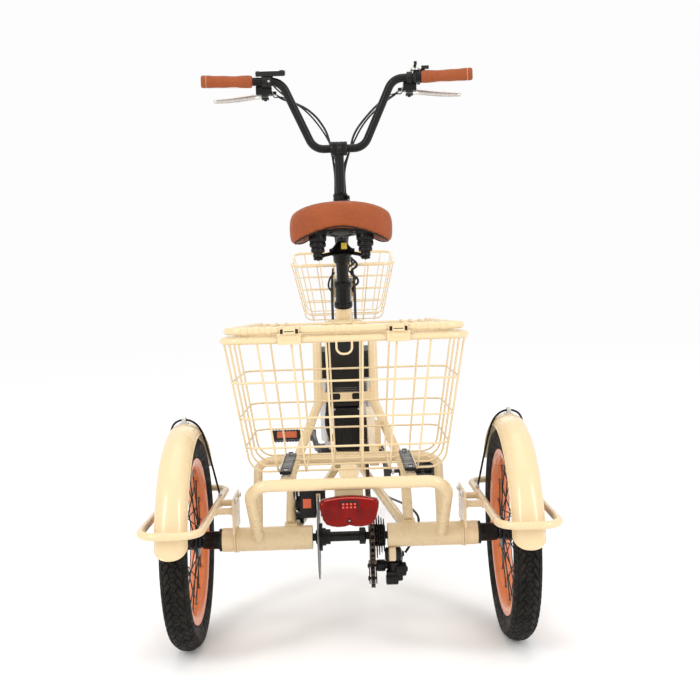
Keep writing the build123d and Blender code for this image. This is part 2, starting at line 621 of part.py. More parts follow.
with BuildPart() as crankset:
    rod(at(-56, CRANK_Y, CRANK_Z), at(84, CRANK_Y, CRANK_Z), 17)
    teeth(Plane(at(CHAIN_X, CRANK_Y, CRANK_Z), x_dir=(0, 1, 0), z_dir=(1, 0, 0)), CHAINRING_R + 3, 42, 2.6)
    with BuildSketch(Plane(at(CHAIN_X - 3, CRANK_Y, CRANK_Z), x_dir=(0, 1, 0), z_dir=(1, 0, 0))) as windows:
        with PolarLocations(52, 5):
            SlotOverall(38, 26, rotation=90)
    extrude(windows.sketch, amount=6, mode=Mode.SUBTRACT)
    rod(at(CHAIN_X, CRANK_Y, CRANK_Z), at(74, CRANK_Y, CRANK_Z), 40)
    crank_arm([at(-50, CRANK_Y + 2, CRANK_Z), at(-78, CRANK_Y + 52, CRANK_Z + 6),
               at(-88, LEFT_PEDAL[0] + 8, LEFT_PEDAL[1] + 1)])
    crank_arm([at(76, CRANK_Y - 2, CRANK_Z), at(84, CRANK_Y - 52, CRANK_Z - 6),
               at(88, RIGHT_PEDAL[0] - 8, RIGHT_PEDAL[1] - 1)])
    rod(at(-66, CRANK_Y, CRANK_Z), at(-42, CRANK_Y, CRANK_Z), 32)
    rod(at(72, CRANK_Y, CRANK_Z), at(86, CRANK_Y, CRANK_Z), 32)
    for side, (y, z) in ((-1, LEFT_PEDAL), (1, RIGHT_PEDAL)):
        rod(at(side * 80, y, z), at(side * 98, y, z), 28)
        rod(at(side * 90, y, z), at(side * (PEDAL_OUT - 6), y, z), 9)
pieces["crankset"] = crankset


def pedal(side, y, z, tilt_degrees):
    """A platform pedal: a frame round a barrel on the spindle."""
    x0, x1 = sorted((side * PEDAL_IN, side * PEDAL_OUT))
    with BuildPart() as platform:
        along = Plane(at(side * PEDAL_X, y, z), x_dir=(1, 0, 0), z_dir=(0, sin(radians(tilt_degrees)),
                                                                       cos(radians(tilt_degrees))))
        with BuildSketch(along) as outline:
            RectangleRounded(PEDAL_OUT - PEDAL_IN, 92, 9)
            for shift in both(23):
                with Locations((0, shift)):
                    RectangleRounded(PEDAL_OUT - PEDAL_IN - 18, 26, 5, mode=Mode.SUBTRACT)
        extrude(outline.sketch, amount=12, both=True)
        rod(at(x0 + 1, y, z), at(x1 - 1, y, z), 26)
        rod(at(x0 - 2, y, z), at(x1 + 2, y, z), 9 + 2 * RUNNING_FIT, mode=Mode.SUBTRACT)
    return platform


pieces["pedal_left"] = pedal(-1, *LEFT_PEDAL, 12)
pieces["pedal_right"] = pedal(1, *RIGHT_PEDAL, -20)

with BuildPart() as derailleur_body:
    block(at(74, -14, 150), at(86, 16, 182.5))
    block(at(60, 4, 140), at(106, 30, 164))
    rod(at(84, 18, 126), at(84, 18, 148), 22)
    rod(at(CHAIN_X + 9, UPPER_JOCKEY[0], UPPER_JOCKEY[1]), at(66, UPPER_JOCKEY[0], UPPER_JOCKEY[1]), 16)
pieces["derailleur_body"] = derailleur_body

with BuildPart() as derailleur_cage:
    for x in (CHAIN_X - 7.5, CHAIN_X + 5.5):
        with BuildSketch(Plane.YZ.offset(x)) as plate:
            for y, z in (UPPER_JOCKEY, LOWER_JOCKEY):
                with Locations((REAR_Y + y, z)):
                    Circle(10)
            make_hull()
        extrude(plate.sketch, amount=2)
    for y, z in (UPPER_JOCKEY, LOWER_JOCKEY):
        rod(at(CHAIN_X - 6, y, z), at(CHAIN_X + 6, y, z), 5)
        teeth(Plane(at(CHAIN_X, y, z), x_dir=(0, 1, 0), z_dir=(1, 0, 0)), 14, 11, 2.4)
pieces["derailleur_cage"] = derailleur_cage


# ---------------------------------------------------------------------------
# Seat
# ---------------------------------------------------------------------------
with BuildPart() as seat_collar:
    rod(seat_line(SEAT_TUBE_LENGTH + 0.2), seat_line(SEAT_TUBE_LENGTH + COLLAR_LENGTH), 35)
    rod(seat_line(SEAT_TUBE_LENGTH - 4), seat_line(SEAT_TUBE_LENGTH + COLLAR_LENGTH + 4),
        POST_D + 2 * RUNNING_FIT, mode=Mode.SUBTRACT)
    rod(seat_line(SEAT_TUBE_LENGTH + 50, back=16), seat_line(SEAT_TUBE_LENGTH + 50, back=24), 9)
pieces["seat_collar"] = seat_collar

with BuildPart() as seatpost:
    rod(seat_line(SEAT_TUBE_LENGTH - 110), seat_line(POST_TOP), POST_D)
    rod(seat_line(SEAT_TUBE_LENGTH - 111), seat_line(POST_TOP - 12), POST_D - 5, mode=Mode.SUBTRACT)
pieces["seatpost"] = seatpost

SADDLE_Y = 300.0              # spring line
SADDLE_FRONT = 500.0
SADDLE_BACK = 238.0
SADDLE_TOP = 871.0
PAN_Z = 806.0
SPRING_X = 52.0
SPRING_LOW = 750.0
with BuildPart() as saddle_clamp:
    rod(seat_line(POST_TOP - 24), seat_line(POST_TOP + 2), 40)
    rod(seat_line(POST_TOP - 30), seat_line(POST_TOP + 0.2), POST_D + 0.1, mode=Mode.SUBTRACT)
    block(at(-22, 352, 758), at(22, 384, 774))
    for x in both(16):
        round_bar([at(x, 372, 766), at(x, 462, 768), at(x * 0.7, 486, PAN_Z - 26)], 7, bend=14)
    for x in both(SPRING_X):
        rod(at(x, SADDLE_Y, SPRING_LOW - 5), at(x, SADDLE_Y, SPRING_LOW - 0.2), 44)
        round_bar([at(x / 4, 366, 764), at(x * 0.8, 334, 756), at(x, SADDLE_Y, SPRING_LOW - 5)], 8, bend=20)
pieces["saddle_clamp"] = saddle_clamp

with BuildPart() as saddle_springs:
    for x in both(SPRING_X):
        height = PAN_Z - SPRING_LOW - 2.4
        turned([(0, 0), (0, 15), (6, 16), (9, 13), (12, 18), (22, 19.5), (26, 15), (30, 19.5), (42, 19.5),
                (46, 16), (height, 17), (height, 0)],
               at(x, SADDLE_Y, SPRING_LOW), direction=(0, 0, 1), up=(1, 0, 0))
pieces["saddle_springs"] = saddle_springs


def saddle_outline(grow):
    """The saddle seen from above: broad at the back, a short nose ahead."""
    middle = (SADDLE_BACK + SADDLE_FRONT) / 2
    with BuildLine() as edge:
        half = [(0, SADDLE_BACK - grow), (70 + grow, SADDLE_BACK + 18 - grow), (113 + grow, SADDLE_Y + 12),
                (84 + grow, middle + 30), (48 + grow, middle + 92), (0, SADDLE_FRONT + grow)]
        tangents = ((1, 0), (-1, 0))
        points = [(x, REAR_Y + y) for x, y in half]
        Spline(*points, tangents=tangents)
        mirror(about=Plane.YZ)
    return edge.line


with BuildPart() as saddle_base:
    with BuildSketch(Plane.XY.offset(PAN_Z - 2)) as pan:
        add(make_face(saddle_outline(-22)))
    extrude(pan.sketch, amount=7)
pieces["saddle_base"] = saddle_base

with BuildPart() as saddle_cushion:
    with BuildSketch(Plane.XY.offset(SADDLE_TOP - 96)) as shape:
        add(make_face(saddle_outline(-2)))
    extrude(shape.sketch, amount=66)
    for height, grow in ((30, -2), (10, -9), (0, -30)):
        with BuildSketch(Plane.XY.offset(SADDLE_TOP - height)):
            add(make_face(saddle_outline(grow)))
    loft()
    with BuildSketch(Plane.XY.offset(SADDLE_TOP - 97)) as pocket:
        add(make_face(saddle_outline(-20)))
    extrude(pocket.sketch, amount=PAN_Z + 5.3 - (SADDLE_TOP - 97), mode=Mode.SUBTRACT)
    block(at(-84, SADDLE_BACK - 20, SADDLE_TOP - 98), at(84, SADDLE_BACK + 60, PAN_Z + 2), mode=Mode.SUBTRACT)
    block(at(-70, SADDLE_Y + 80, SADDLE_TOP - 98), at(70, SADDLE_FRONT + 20, PAN_Z - 6), mode=Mode.SUBTRACT)
pieces["saddle_cushion"] = saddle_cushion


# ---------------------------------------------------------------------------
# Fork and steering
# ---------------------------------------------------------------------------
LEG_AHEAD = WHEELBASE - STEER_FOOT_Y
CROWN_Z = 485.0
STEM_TUBE_TOP = 946.0
with BuildPart() as frame_bearings:
    for low, high in ((HEAD_LOW_Z - 9, HEAD_LOW_Z - 0.2), (HEAD_HIGH_Z + 0.2, HEAD_HIGH_Z + 10)):
        rod(steer_line(low), steer_line(high), 48)
        rod(steer_line(low - 3), steer_line(high + 3), 28.6 + 2 * RUNNING_FIT, mode=Mode.SUBTRACT)
    for side in (-1, 1):
        x0, x1 = sorted((side * 20, side * 33.5))
        ring(x0, x1, CRANK_Y, CRANK_Z, 35.9, 17 + 2 * RUNNING_FIT)
pieces["frame_bearings"] = frame_bearings

with BuildPart() as fork_upper:
    rod(steer_line(CROWN_Z), steer_line(HEAD_HIGH_Z + 40), 28.6)
    crown_plane = Plane(steer_line(CROWN_Z), x_dir=(1, 0, 0), z_dir=STEER_DIR)
    with BuildSketch(crown_plane) as crown:
        for x, y in ((-FORK_HALF, LEG_AHEAD * 0.96), (FORK_HALF, LEG_AHEAD * 0.96), (0, 0)):
            with Locations((x, y)):
                Circle(22)
        make_hull()
    extrude(crown.sketch, amount=13, both=True)
    for x in both(FORK_HALF):
        rod(steer_line(300, LEG_AHEAD, x), steer_line(CROWN_Z + 8, LEG_AHEAD, x), 26)
    rod(steer_line(CROWN_Z + 13), steer_line(CROWN_Z + 24.5), 40)
    rod(steer_line(HEAD_HIGH_Z + 12), steer_line(STEM_TUBE_TOP), 32)
    rod(steer_line(STEM_TUBE_TOP - 22), steer_line(STEM_TUBE_TOP), 38)
    block(at(10, 938, STEM_TUBE_TOP - 20), at(18, 952, STEM_TUBE_TOP - 6))
    rod(steer_line(HEAD_HIGH_Z + 30), steer_line(STEM_TUBE_TOP + 5), 25.4 + 2 * RUNNING_FIT,
        mode=Mode.SUBTRACT)
pieces["fork_upper"] = fork_upper

with BuildPart() as fork_lowers:
    for side in (-1, 1):
        x = side * FORK_HALF
        rod(steer_line(228, LEG_AHEAD, x), steer_line(424, LEG_AHEAD, x), 34)
        foot_low, foot_high = sorted((side * 50, side * 71))
        block(at(foot_low, WHEELBASE - 16, AXLE_Z - 16), at(foot_high, WHEELBASE + 16, AXLE_Z + 34))
    for x in both(FORK_HALF):
        rod(steer_line(252, LEG_AHEAD, x), steer_line(430, LEG_AHEAD, x), 26 + 2 * RUNNING_FIT,
            mode=Mode.SUBTRACT)
    rod(at(-76, WHEELBASE, AXLE_Z), at(76, WHEELBASE, AXLE_Z), THREAD_D, mode=Mode.SUBTRACT)
pieces["fork_lowers"] = fork_lowers

with BuildPart() as front_fender:
    fender(FRONT_HUB, FENDER_W / 2, 48, 150)
pieces["front_fender"] = front_fender

with BuildPart() as stem_post:
    rod(steer_line(STEM_TUBE_TOP - 130), steer_line(BAR_Z), 25.4)
    clamp = steer_line(BAR_Z)
    rod(Vector(clamp) - Vector(22, 0, 0), Vector(clamp) + Vector(22, 0, 0), 36)
    rod(Vector(clamp) - Vector(24, 0, 0), Vector(clamp) + Vector(24, 0, 0), BAR_D + 0.04, mode=Mode.SUBTRACT)
pieces["stem_post"] = stem_post

LEVER_PIVOT = at(24, 946, STEM_TUBE_TOP - 13)
with BuildPart() as stem_lever:
    rod(Vector(LEVER_PIVOT) - Vector(5.8, 0, 0), Vector(LEVER_PIVOT) + Vector(2, 0, 0), 12)
    block(at(20, 900, STEM_TUBE_TOP - 18), at(25, 948, STEM_TUBE_TOP - 8))
pieces["stem_lever"] = stem_lever

BAR_Y = steer_line(BAR_Z)[1] - REAR_Y
BEND_X = 150.0
BOTTOM_X = 68.0
BAR_PATH = [at(-BAR_HALF, GRIP_END_Y, GRIP_Z), at(-BEND_X, GRIP_START_Y, GRIP_Z), at(-BOTTOM_X, BAR_Y, BAR_Z),
            at(BOTTOM_X, BAR_Y, BAR_Z), at(BEND_X, GRIP_START_Y, GRIP_Z), at(BAR_HALF, GRIP_END_Y, GRIP_Z)]
with BuildPart() as handlebar:
    round_bar(BAR_PATH, BAR_D, bend=42)
    round_bar(BAR_PATH, BAR_D - 4, bend=42, mode=Mode.SUBTRACT)
pieces["handlebar"] = handlebar


def on_bar(side, x, ahead=0.0, up=0.0):
    """A point on the straight end of the handlebar, x from the middle."""
    share = (x - BEND_X) / (BAR_HALF - BEND_X)
    return at(side * x, GRIP_START_Y + (GRIP_END_Y - GRIP_START_Y) * share + ahead, GRIP_Z + up)


def bar_direction(side):
    return Vector(on_bar(side, BAR_HALF)) - Vector(on_bar(side, BEND_X))


GRIP_LENGTH = 133.0
with BuildPart() as grips:
    for side in (-1, 1):
        bore = BAR_D / 2 + 0.02
        turned([(0, bore), (0, 15), (3, 17), (14, 16.6), (60, 15.6), (GRIP_LENGTH - 20, 16.6),
                (GRIP_LENGTH - 4, 17), (GRIP_LENGTH + 1.5, 15), (GRIP_LENGTH + 3, 9), (GRIP_LENGTH + 3, 0),
                (GRIP_LENGTH + 1.4, 0), (GRIP_LENGTH + 1.4, bore)],
               on_bar(side, GRIP_IN), direction=bar_direction(side), up=(0, 0, 1))
pieces["grips"] = grips


def bar_ring(side, x0, x1, outer):
    """A clamp ring on the straight end of the handlebar."""
    rod(on_bar(side, x0), on_bar(side, x1), outer)
    rod(on_bar(side, x0 - 3), on_bar(side, x1 + 3), BAR_D + 0.3, mode=Mode.SUBTRACT)


LEVER_X = 196.0
LEVER_AHEAD = 46.0
LEVER_DROP = -30.0
with BuildPart() as lever_brackets:
    for side in (-1, 1):
        rod(on_bar(side, 188), on_bar(side, 202), 31)
        low, high = sorted((side * 187, side * 204))
        base_y = on_bar(side, LEVER_X)[1]
        block((low, base_y + 8, GRIP_Z - 38), (high, base_y + 34, GRIP_Z - 8))
        pivot = Vector(on_bar(side, LEVER_X, LEVER_AHEAD, LEVER_DROP))
        for low_z, high_z in ((-10, -6), (6, 10)):
            rod(pivot + Vector(0, 0, low_z), pivot + Vector(0, 0, high_z), 20)
            block(pivot + Vector(-10, -14, low_z), pivot + Vector(10, 0, high_z))
        rod(on_bar(side, 188, 30, LEVER_DROP + 6), on_bar(side, 166, 33, LEVER_DROP + 6), 9)
        rod(on_bar(side, 184), on_bar(side, 206), BAR_D + 0.3, mode=Mode.SUBTRACT)
    rod(on_bar(1, 216), on_bar(1, 225), 30)
    block(on_bar(1, 216, 8, -14), on_bar(1, 225, 34, 12))
    block(on_bar(1, 216, 19, -10), on_bar(1, 238, 34, 17.6))
    rod(on_bar(1, 213), on_bar(1, 230), BAR_D + 0.3, mode=Mode.SUBTRACT)
pieces["lever_brackets"] = lever_brackets


def brake_lever(side):
    """A two-finger lever that reaches outwards ahead of the grip."""
    pivot = Vector(on_bar(side, LEVER_X, LEVER_AHEAD, LEVER_DROP))
    with BuildPart() as lever:
        rod(pivot - Vector(0, 0, 5.4), pivot + Vector(0, 0, 5.4), 14)
        with BuildLine() as path:
            FilletPolyline(pivot, pivot + Vector(side * 34, 10, 0), pivot + Vector(side * 88, 4, -8),
                           pivot + Vector(side * 142, -4, -12), radius=40)
        with BuildSketch(Plane(path.line @ 0, x_dir=(0, 0, 1), z_dir=path.line % 0)) as section:
            RectangleRounded(9, 6, 2)
        sweep(section.sketch, path=path.line)
    return lever


pieces["brake_lever_left"] = brake_lever(-1)
pieces["brake_lever_right"] = brake_lever(1)

with BuildPart() as display:
    bar_ring(-1, 178, 186, 29)
    block(at(-186, GRIP_START_Y - 14, GRIP_Z + 12.5), at(-170, GRIP_START_Y + 8, GRIP_Z + 20))
    with Locations(Plane(at(-178, GRIP_START_Y + 2, GRIP_Z + 25), x_dir=(1, 0, 0),
                         z_dir=(0, -sin(radians(14)), cos(radians(14)))).location):
        Box(80, 46, 14)
pieces["display"] = display

BELL_X = 210.0
with BuildPart() as bell:
    bar_ring(1, 206, 214, 29)
    rod(on_bar(1, BELL_X, 0, 12.5), on_bar(1, BELL_X, 0, 18), 6)
    turned([(0, 0), (0, 12), (2, 13), (5, 13), (9, 9), (11, 0)], on_bar(1, BELL_X, 0, 16.5),
           direction=(0, 0, 1), up=(1, 0, 0))
pieces["bell"] = bell

with BuildPart() as bell_lever:
    base = Vector(on_bar(1, BELL_X, 0, 28))
    rod(base, base + Vector(0, 0, 4), 9)
    block(base + Vector(-4, -22, 1), base + Vector(4, 0, 4))
    block(base + Vector(-4, -24, 1), base + Vector(4, -20, 10))
pieces["bell_lever"] = bell_lever

SHIFT_PIVOT = on_bar(1, 231, 26, 20.6)
with BuildPart() as shift_lever:
    rod(Vector(SHIFT_PIVOT) - Vector(0, 0, 2.4), Vector(SHIFT_PIVOT) + Vector(0, 0, 4), 16)
    block(Vector(SHIFT_PIVOT) + Vector(-4, -30, 0), Vector(SHIFT_PIVOT) + Vector(5, 0, 4))
    block(Vector(SHIFT_PIVOT) + Vector(-4, -32, 0), Vector(SHIFT_PIVOT) + Vector(16, -22, 8))
pieces["shift_lever"] = shift_lever

# Control cables, from the levers to the stem, down the stem, and along the frame.
CABLE_D = 5.0
with BuildPart() as control_cables:
    round_bar([at(-164.5, 890.5, 1219), at(-132, 905, 1212), at(-92, 925, 1180), at(-52, 930, 1135),
               at(-32, 928, 1080), steer_line(1015, 30, -21), steer_line(955, 27, -20)], CABLE_D, bend=30)
    round_bar([at(164.5, 890.5, 1219), at(128, 905, 1206), at(84, 925, 1170), at(50, 932, 1120),
               at(28, 928, 1070), steer_line(1015, 34, 12), steer_line(955, 33, 10)], CABLE_D, bend=30)
pieces["control_cables"] = control_cables

with BuildPart() as steering_cables:
    for x, ahead in ((-13, 27), (3, 32)):
        round_bar([steer_line(948, ahead, x), steer_line(890, ahead, x), steer_line(830, ahead + 2, x * 1.4),
                   steer_line(750, ahead + 2, x * 2 + 6)], CABLE_D, bend=60)
pieces["steering_cables"] = steering_cables

with BuildPart() as frame_cables:
    for side in (-1, 1):
        round_bar([at(side * 28, 1012, 742), at(side * 32, 1018, 690), at(side * 33, 1000, 610),
                   at(side * 31, 930, 500), at(side * 31, 845, 384), at(side * 31, 700, 322),
                   at(side * 30, 640, 296)], CABLE_D, bend=40)
    round_bar([at(-40, 440, 250), at(-60, 330, 238), at(-104, 100, 262), at(-108, 62, 258)], CABLE_D, bend=30)
    round_bar([at(40, 440, 238), at(74, 300, 226), at(122, 100, 236), at(134, 50, 224), at(124, 44, 190),
               at(107, 33, 160)], CABLE_D, bend=18)
pieces["frame_cables"] = frame_cables

for name, piece in pieces.items():
    piece.part.label = name
    export_step(piece.part, "parts/" + name + ".step")
print(len(pieces), "pieces")
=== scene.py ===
import json
from math import asin, atan2, cos, degrees, hypot, pi, radians, sin, sqrt, tan

import bmesh
import bpy
from mathutils import Matrix, Vector


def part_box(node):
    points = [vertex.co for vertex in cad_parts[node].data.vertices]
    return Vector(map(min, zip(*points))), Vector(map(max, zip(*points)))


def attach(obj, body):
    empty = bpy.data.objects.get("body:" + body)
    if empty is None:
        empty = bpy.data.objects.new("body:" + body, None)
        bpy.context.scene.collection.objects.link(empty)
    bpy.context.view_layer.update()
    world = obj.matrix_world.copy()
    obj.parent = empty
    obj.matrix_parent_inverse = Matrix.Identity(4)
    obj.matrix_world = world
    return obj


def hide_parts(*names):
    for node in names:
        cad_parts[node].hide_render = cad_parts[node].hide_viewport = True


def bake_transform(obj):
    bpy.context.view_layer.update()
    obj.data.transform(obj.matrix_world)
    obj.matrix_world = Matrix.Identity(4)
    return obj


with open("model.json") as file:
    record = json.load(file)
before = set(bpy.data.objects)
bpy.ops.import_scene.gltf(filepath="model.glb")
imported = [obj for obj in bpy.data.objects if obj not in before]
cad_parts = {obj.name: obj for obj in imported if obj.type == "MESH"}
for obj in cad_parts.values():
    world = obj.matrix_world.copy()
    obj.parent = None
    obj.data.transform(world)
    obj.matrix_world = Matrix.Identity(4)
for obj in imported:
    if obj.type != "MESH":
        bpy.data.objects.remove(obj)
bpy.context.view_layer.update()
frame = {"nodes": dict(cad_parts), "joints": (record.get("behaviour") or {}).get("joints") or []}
NODES = frame["nodes"]
JOINTS = {joint["name"]: joint for joint in frame["joints"]}


# ---------------------------------------------------------------------------
# Places. Shapes are built in millimetres from the ground under the rear axle.
# ---------------------------------------------------------------------------
MM = 0.001
REAR_Y = JOINTS["axle_spin"]["pos_m"][1]
TO_FRAME = Matrix.Translation((0, REAR_Y, 0)) @ Matrix.Scale(MM, 4)


def joint_place(name):
    """A joint's point, in millimetres from the ground under the rear axle."""
    x, y, z = JOINTS[name]["pos_m"]
    return Vector((x, y - REAR_Y, z)) / MM


AXLE = joint_place("axle_spin")
FRONT = joint_place("front_spin")
CRANK = joint_place("crank_spin")
SEAT_DIR = Vector(JOINTS["seat_height"]["axis"]).normalized()
STEER_DIR = Vector(JOINTS["steering"]["axis"]).normalized()
STEER_MID = joint_place("steering")
X, Y, Z = Vector((1, 0, 0)), Vector((0, 1, 0)), Vector((0, 0, 1))


def seat_line(distance, back=0.0, side=0.0):
    """A point along the seat tube from the crank axis, and square behind it."""
    behind = X.cross(SEAT_DIR)
    return CRANK + SEAT_DIR * distance - behind * back * (1 if behind.y > 0 else -1) + X * side


def steer_line(z, ahead=0.0, side=0.0):
    """The point of the steering axis at height z, shifted ahead and sideways."""
    return STEER_MID + STEER_DIR * ((z - STEER_MID.z) / STEER_DIR.z) + Y * ahead + X * side


def both(x):
    return (-x, x)


# ---------------------------------------------------------------------------
# Camera
# ---------------------------------------------------------------------------
camera_data = bpy.data.cameras.new("camera")
camera_data.lens = 54.0
camera_data.sensor_width = 36
camera = bpy.data.objects.new("camera", camera_data)
bpy.context.scene.collection.objects.link(camera)
bpy.context.scene.camera = camera
CAMERA_PLACE = (0.0038, -2.5715, 0.6747)
CAMERA_PAN, CAMERA_TILT, CAMERA_ROLL = -0.193, 86.81, -1.74
camera.matrix_world = (Matrix.Translation(CAMERA_PLACE)
                       @ Matrix.Rotation(radians(CAMERA_PAN), 4, "Z")
                       @ Matrix.Rotation(radians(CAMERA_TILT), 4, "X")
                       @ Matrix.Rotation(radians(CAMERA_ROLL), 4, "Z"))


# ---------------------------------------------------------------------------
# Shape building
# ---------------------------------------------------------------------------
def frames_along(points, closed=False):
    """Two directions square to the path at each point, carried along without twist."""
    count = len(points)
    tangents = []
    for i in range(count):
        before = points[i - 1] if i or closed else points[i]
        after = points[(i + 1) % count] if i < count - 1 or closed else points[i]
        tangents.append((after - before).normalized())
    side = tangents[0].orthogonal().normalized()
    frames = []
    for tangent in tangents:
        side = (side - tangent * side.dot(tangent)).normalized()
        frames.append((side, tangent.cross(side).normalized()))
    return frames


def rounded(points, radius, steps=6):
    """A path with each corner turned as an arc of the given radius."""
    points = [Vector(p) for p in points]
    count = len(points)
    path = []
    for i, corner in enumerate(points):
        if i in (0, count - 1):
            path.append(corner)
            continue
        back = points[i - 1] - corner
        ahead = points[i + 1] - corner
        turn = back.angle(ahead)
        if turn > pi - 0.01:
            path.append(corner)
            continue
        cut = min(radius / tan(turn / 2), back.length * 0.48, ahead.length * 0.48)
        arc = cut * tan(turn / 2)
        back.normalize()
        ahead.normalize()
        middle = corner + (back + ahead).normalized() * (arc / sin(turn / 2))
        first = corner + back * cut - middle
        last = corner + ahead * cut - middle
        sweep = first.angle(last)
        for k in range(steps + 1):
            share = k / steps
            path.append(middle + (first * sin((1 - share) * sweep) + last * sin(share * sweep)) / sin(sweep))
    return path


def smooth_line(points, steps=8):
    """A Catmull-Rom line through the points."""
    points = [Vector(p) for p in points]
    padded = [points[0] * 2 - points[1]] + points + [points[-1] * 2 - points[-2]]
    path = []
    for a, b, c, d in zip(padded, padded[1:], padded[2:], padded[3:]):
        for k in range(steps):
            t = k / steps
            path.append(0.5 * (b * 2 + (c - a) * t + (a * 2 - b * 5 + c * 4 - d) * t * t
                               + (b * 3 - a - c * 3 + d) * t ** 3))
    return path + [points[-1]]


SHARP_DEGREES = 40.0
AXIS_R = 0.01


def ring_of(sides):
    """The angles of a polygon's corners."""
    return [2 * pi * k / sides for k in range(sides)]


def neighbours_direction(points, i):
    """The direction of a path at its i-th point."""
    return (points[min(i + 1, len(points) - 1)] - points[max(i - 1, 0)]).normalized()


def ring(half, bore, radius, ease=0.0, lip=None):
    """A collar's outline about its middle, its edges eased from lip to radius."""
    if lip is None:
        return [(-half, bore), (-half, radius), (half, radius), (half, bore)]
    return [(-half, bore), (-half, lip), (ease - half, radius), (half - ease, radius), (half, lip),
            (half, bore)]


class Shape:
    """Bodies gathered into one mesh, each with its own place in the material list."""

    def __init__(self):
        self.bm = bmesh.new()
        self.part = 0

    def face(self, verts):
        face = self.bm.faces.new(verts)
        face.material_index = self.part
        return face

    def skin(self, rows, close_rows=False, close_row=True, caps=False):
        """Quads between neighbouring rows of points."""
        grid = [[self.bm.verts.new(p) for p in row] for row in rows]
        count, width = len(grid), len(grid[0])
        for i in range(count if close_rows else count - 1):
            for j in range(width if close_row else width - 1):
                low, high, right = grid[i], grid[(i + 1) % count], (j + 1) % width
                self.face((low[j], low[right], high[right], high[j]))
        if caps:
            self.face(list(reversed(grid[0])))
            self.face(grid[-1])
        return grid

    def bar(self, points, radius, sides=12, closed=False, flat=1.0):
        """A round bar along a path. radius is a number or a function of the share run."""
        points = [Vector(p) for p in points]
        rows = []
        for i, (point, (u, v)) in enumerate(zip(points, frames_along(points, closed))):
            r = radius(i / (len(points) - 1)) if callable(radius) else radius
            rows.append([point + (u * cos(a) + v * sin(a) * flat) * r for a in ring_of(sides)])
        self.skin(rows, close_rows=closed, caps=not closed)

    def rod(self, start, end, radius, sides=20):
        self.bar([start, end], radius, sides)

    def turned(self, outline, origin, axis=X, sides=48):
        """An outline of (along, radius) points turned about an axis: a ring, unless an end is on the axis."""
        closed = min(outline[0][1], outline[-1][1]) > 0
        axis = Vector(axis).normalized()
        u = axis.orthogonal().normalized()
        v = axis.cross(u)
        rows = [[Vector(origin) + axis * along + (u * cos(a) + v * sin(a)) * max(radius, AXIS_R)
                 for a in ring_of(sides)] for along, radius in outline]
        self.skin(rows, close_rows=closed, caps=not closed)

    def prism(self, outline, origin, u, v, low, high, bevel=0.0):
        """A flat outline in the u, v plane, thickened from low to high."""
        u, v = Vector(u).normalized(), Vector(v).normalized()
        n = u.cross(v)
        rows = [[Vector(origin) + u * a + v * b + n * level for a, b in outline] for level in (low, high)]
        grid = self.skin(rows, caps=True)
        if bevel:
            rims = [edge for row in grid for vert in row for edge in vert.link_edges
                    if edge.other_vert(vert) in row]
            bmesh.ops.bevel(self.bm, geom=list(set(rims)), offset=bevel, segments=2, profile=0.6,
                            affect="EDGES", material=-1)

    def box(self, low, high, bevel=1.0, place=Matrix.Identity(4)):
        """A block between two corners, its edges eased."""
        verts = bmesh.ops.create_cube(self.bm, size=1)["verts"]
        low, high = Vector(low), Vector(high)
        size = Vector(abs(b - a) for a, b in zip(low, high))
        move = place @ Matrix.Translation((low + high) / 2) @ Matrix.Diagonal((*size, 1))
        bmesh.ops.transform(self.bm, matrix=move, verts=verts)
        edges = list({edge for vert in verts for edge in vert.link_edges})
        for face in {face for vert in verts for face in vert.link_faces}:
            face.material_index = self.part
        if bevel:
            bmesh.ops.bevel(self.bm, geom=edges, offset=bevel, segments=3, profile=0.7, affect="EDGES",
                            material=-1)

    def bolt(self, place, axis, across=10.0, height=5.0):
        """A hex head on its washer."""
        axis = Vector(axis).normalized()
        place = Vector(place)
        r = across / sqrt(3)
        self.turned([(0, r * 0.5), (0, r * 1.3), (1.0, r * 1.3), (1.2, r * 1.2), (1.2, r * 0.5)],
                    place, axis, 24)
        self.turned([(1.2, 0), (1.2, r), (height - 0.7, r), (height, r * 0.84), (height, 0)],
                    place, axis, 6)

    def cap_screw(self, place, axis, radius=4.0, height=5.0):
        """A round head with a hex socket."""
        place = Vector(place)
        self.turned([(0, 0), (0, radius), (height - 0.6, radius), (height, radius - 0.6),
                     (height, radius * 0.55)], place, axis, 20)
        self.turned([(height - 0.05, radius * 0.56), (height * 0.45, radius * 0.5), (height * 0.45, 0)],
                    place, axis, 6)

    def make(self, name, body, materials, slot, *replaced, origin=None):
        """One Blender object, riding on a body. origin keeps its mesh local to that point."""
        bmesh.ops.remove_doubles(self.bm, verts=self.bm.verts, dist=0.02)
        bmesh.ops.recalc_face_normals(self.bm, faces=self.bm.faces)
        move = Matrix.Scale(MM, 4) if origin is not None else TO_FRAME
        bmesh.ops.transform(self.bm, matrix=move, verts=self.bm.verts)
        mesh = bpy.data.meshes.new(name)
        self.bm.to_mesh(mesh)
        self.bm.free()
        mesh.shade_smooth()
        mesh.set_sharp_from_angle(angle=radians(SHARP_DEGREES))
        for material in materials if isinstance(materials, (list, tuple)) else [materials]:
            mesh.materials.append(material)
        return place_mesh(name, mesh, body, slot, *replaced, origin=origin)


def place_mesh(name, mesh, body, slot, *replaced, origin=None):
    """Show a mesh on a body; a body given as (first, second, start, end) only has the mesh fixed in place."""
    obj = bpy.data.objects.new(name, mesh)
    bpy.context.scene.collection.objects.link(obj)
    if origin is not None:
        obj.location = TO_FRAME @ Vector(origin)
    if isinstance(body, tuple):
        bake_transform(obj)
    else:
        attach(obj, body)
    if replaced:
        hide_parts(*replaced)
    return obj


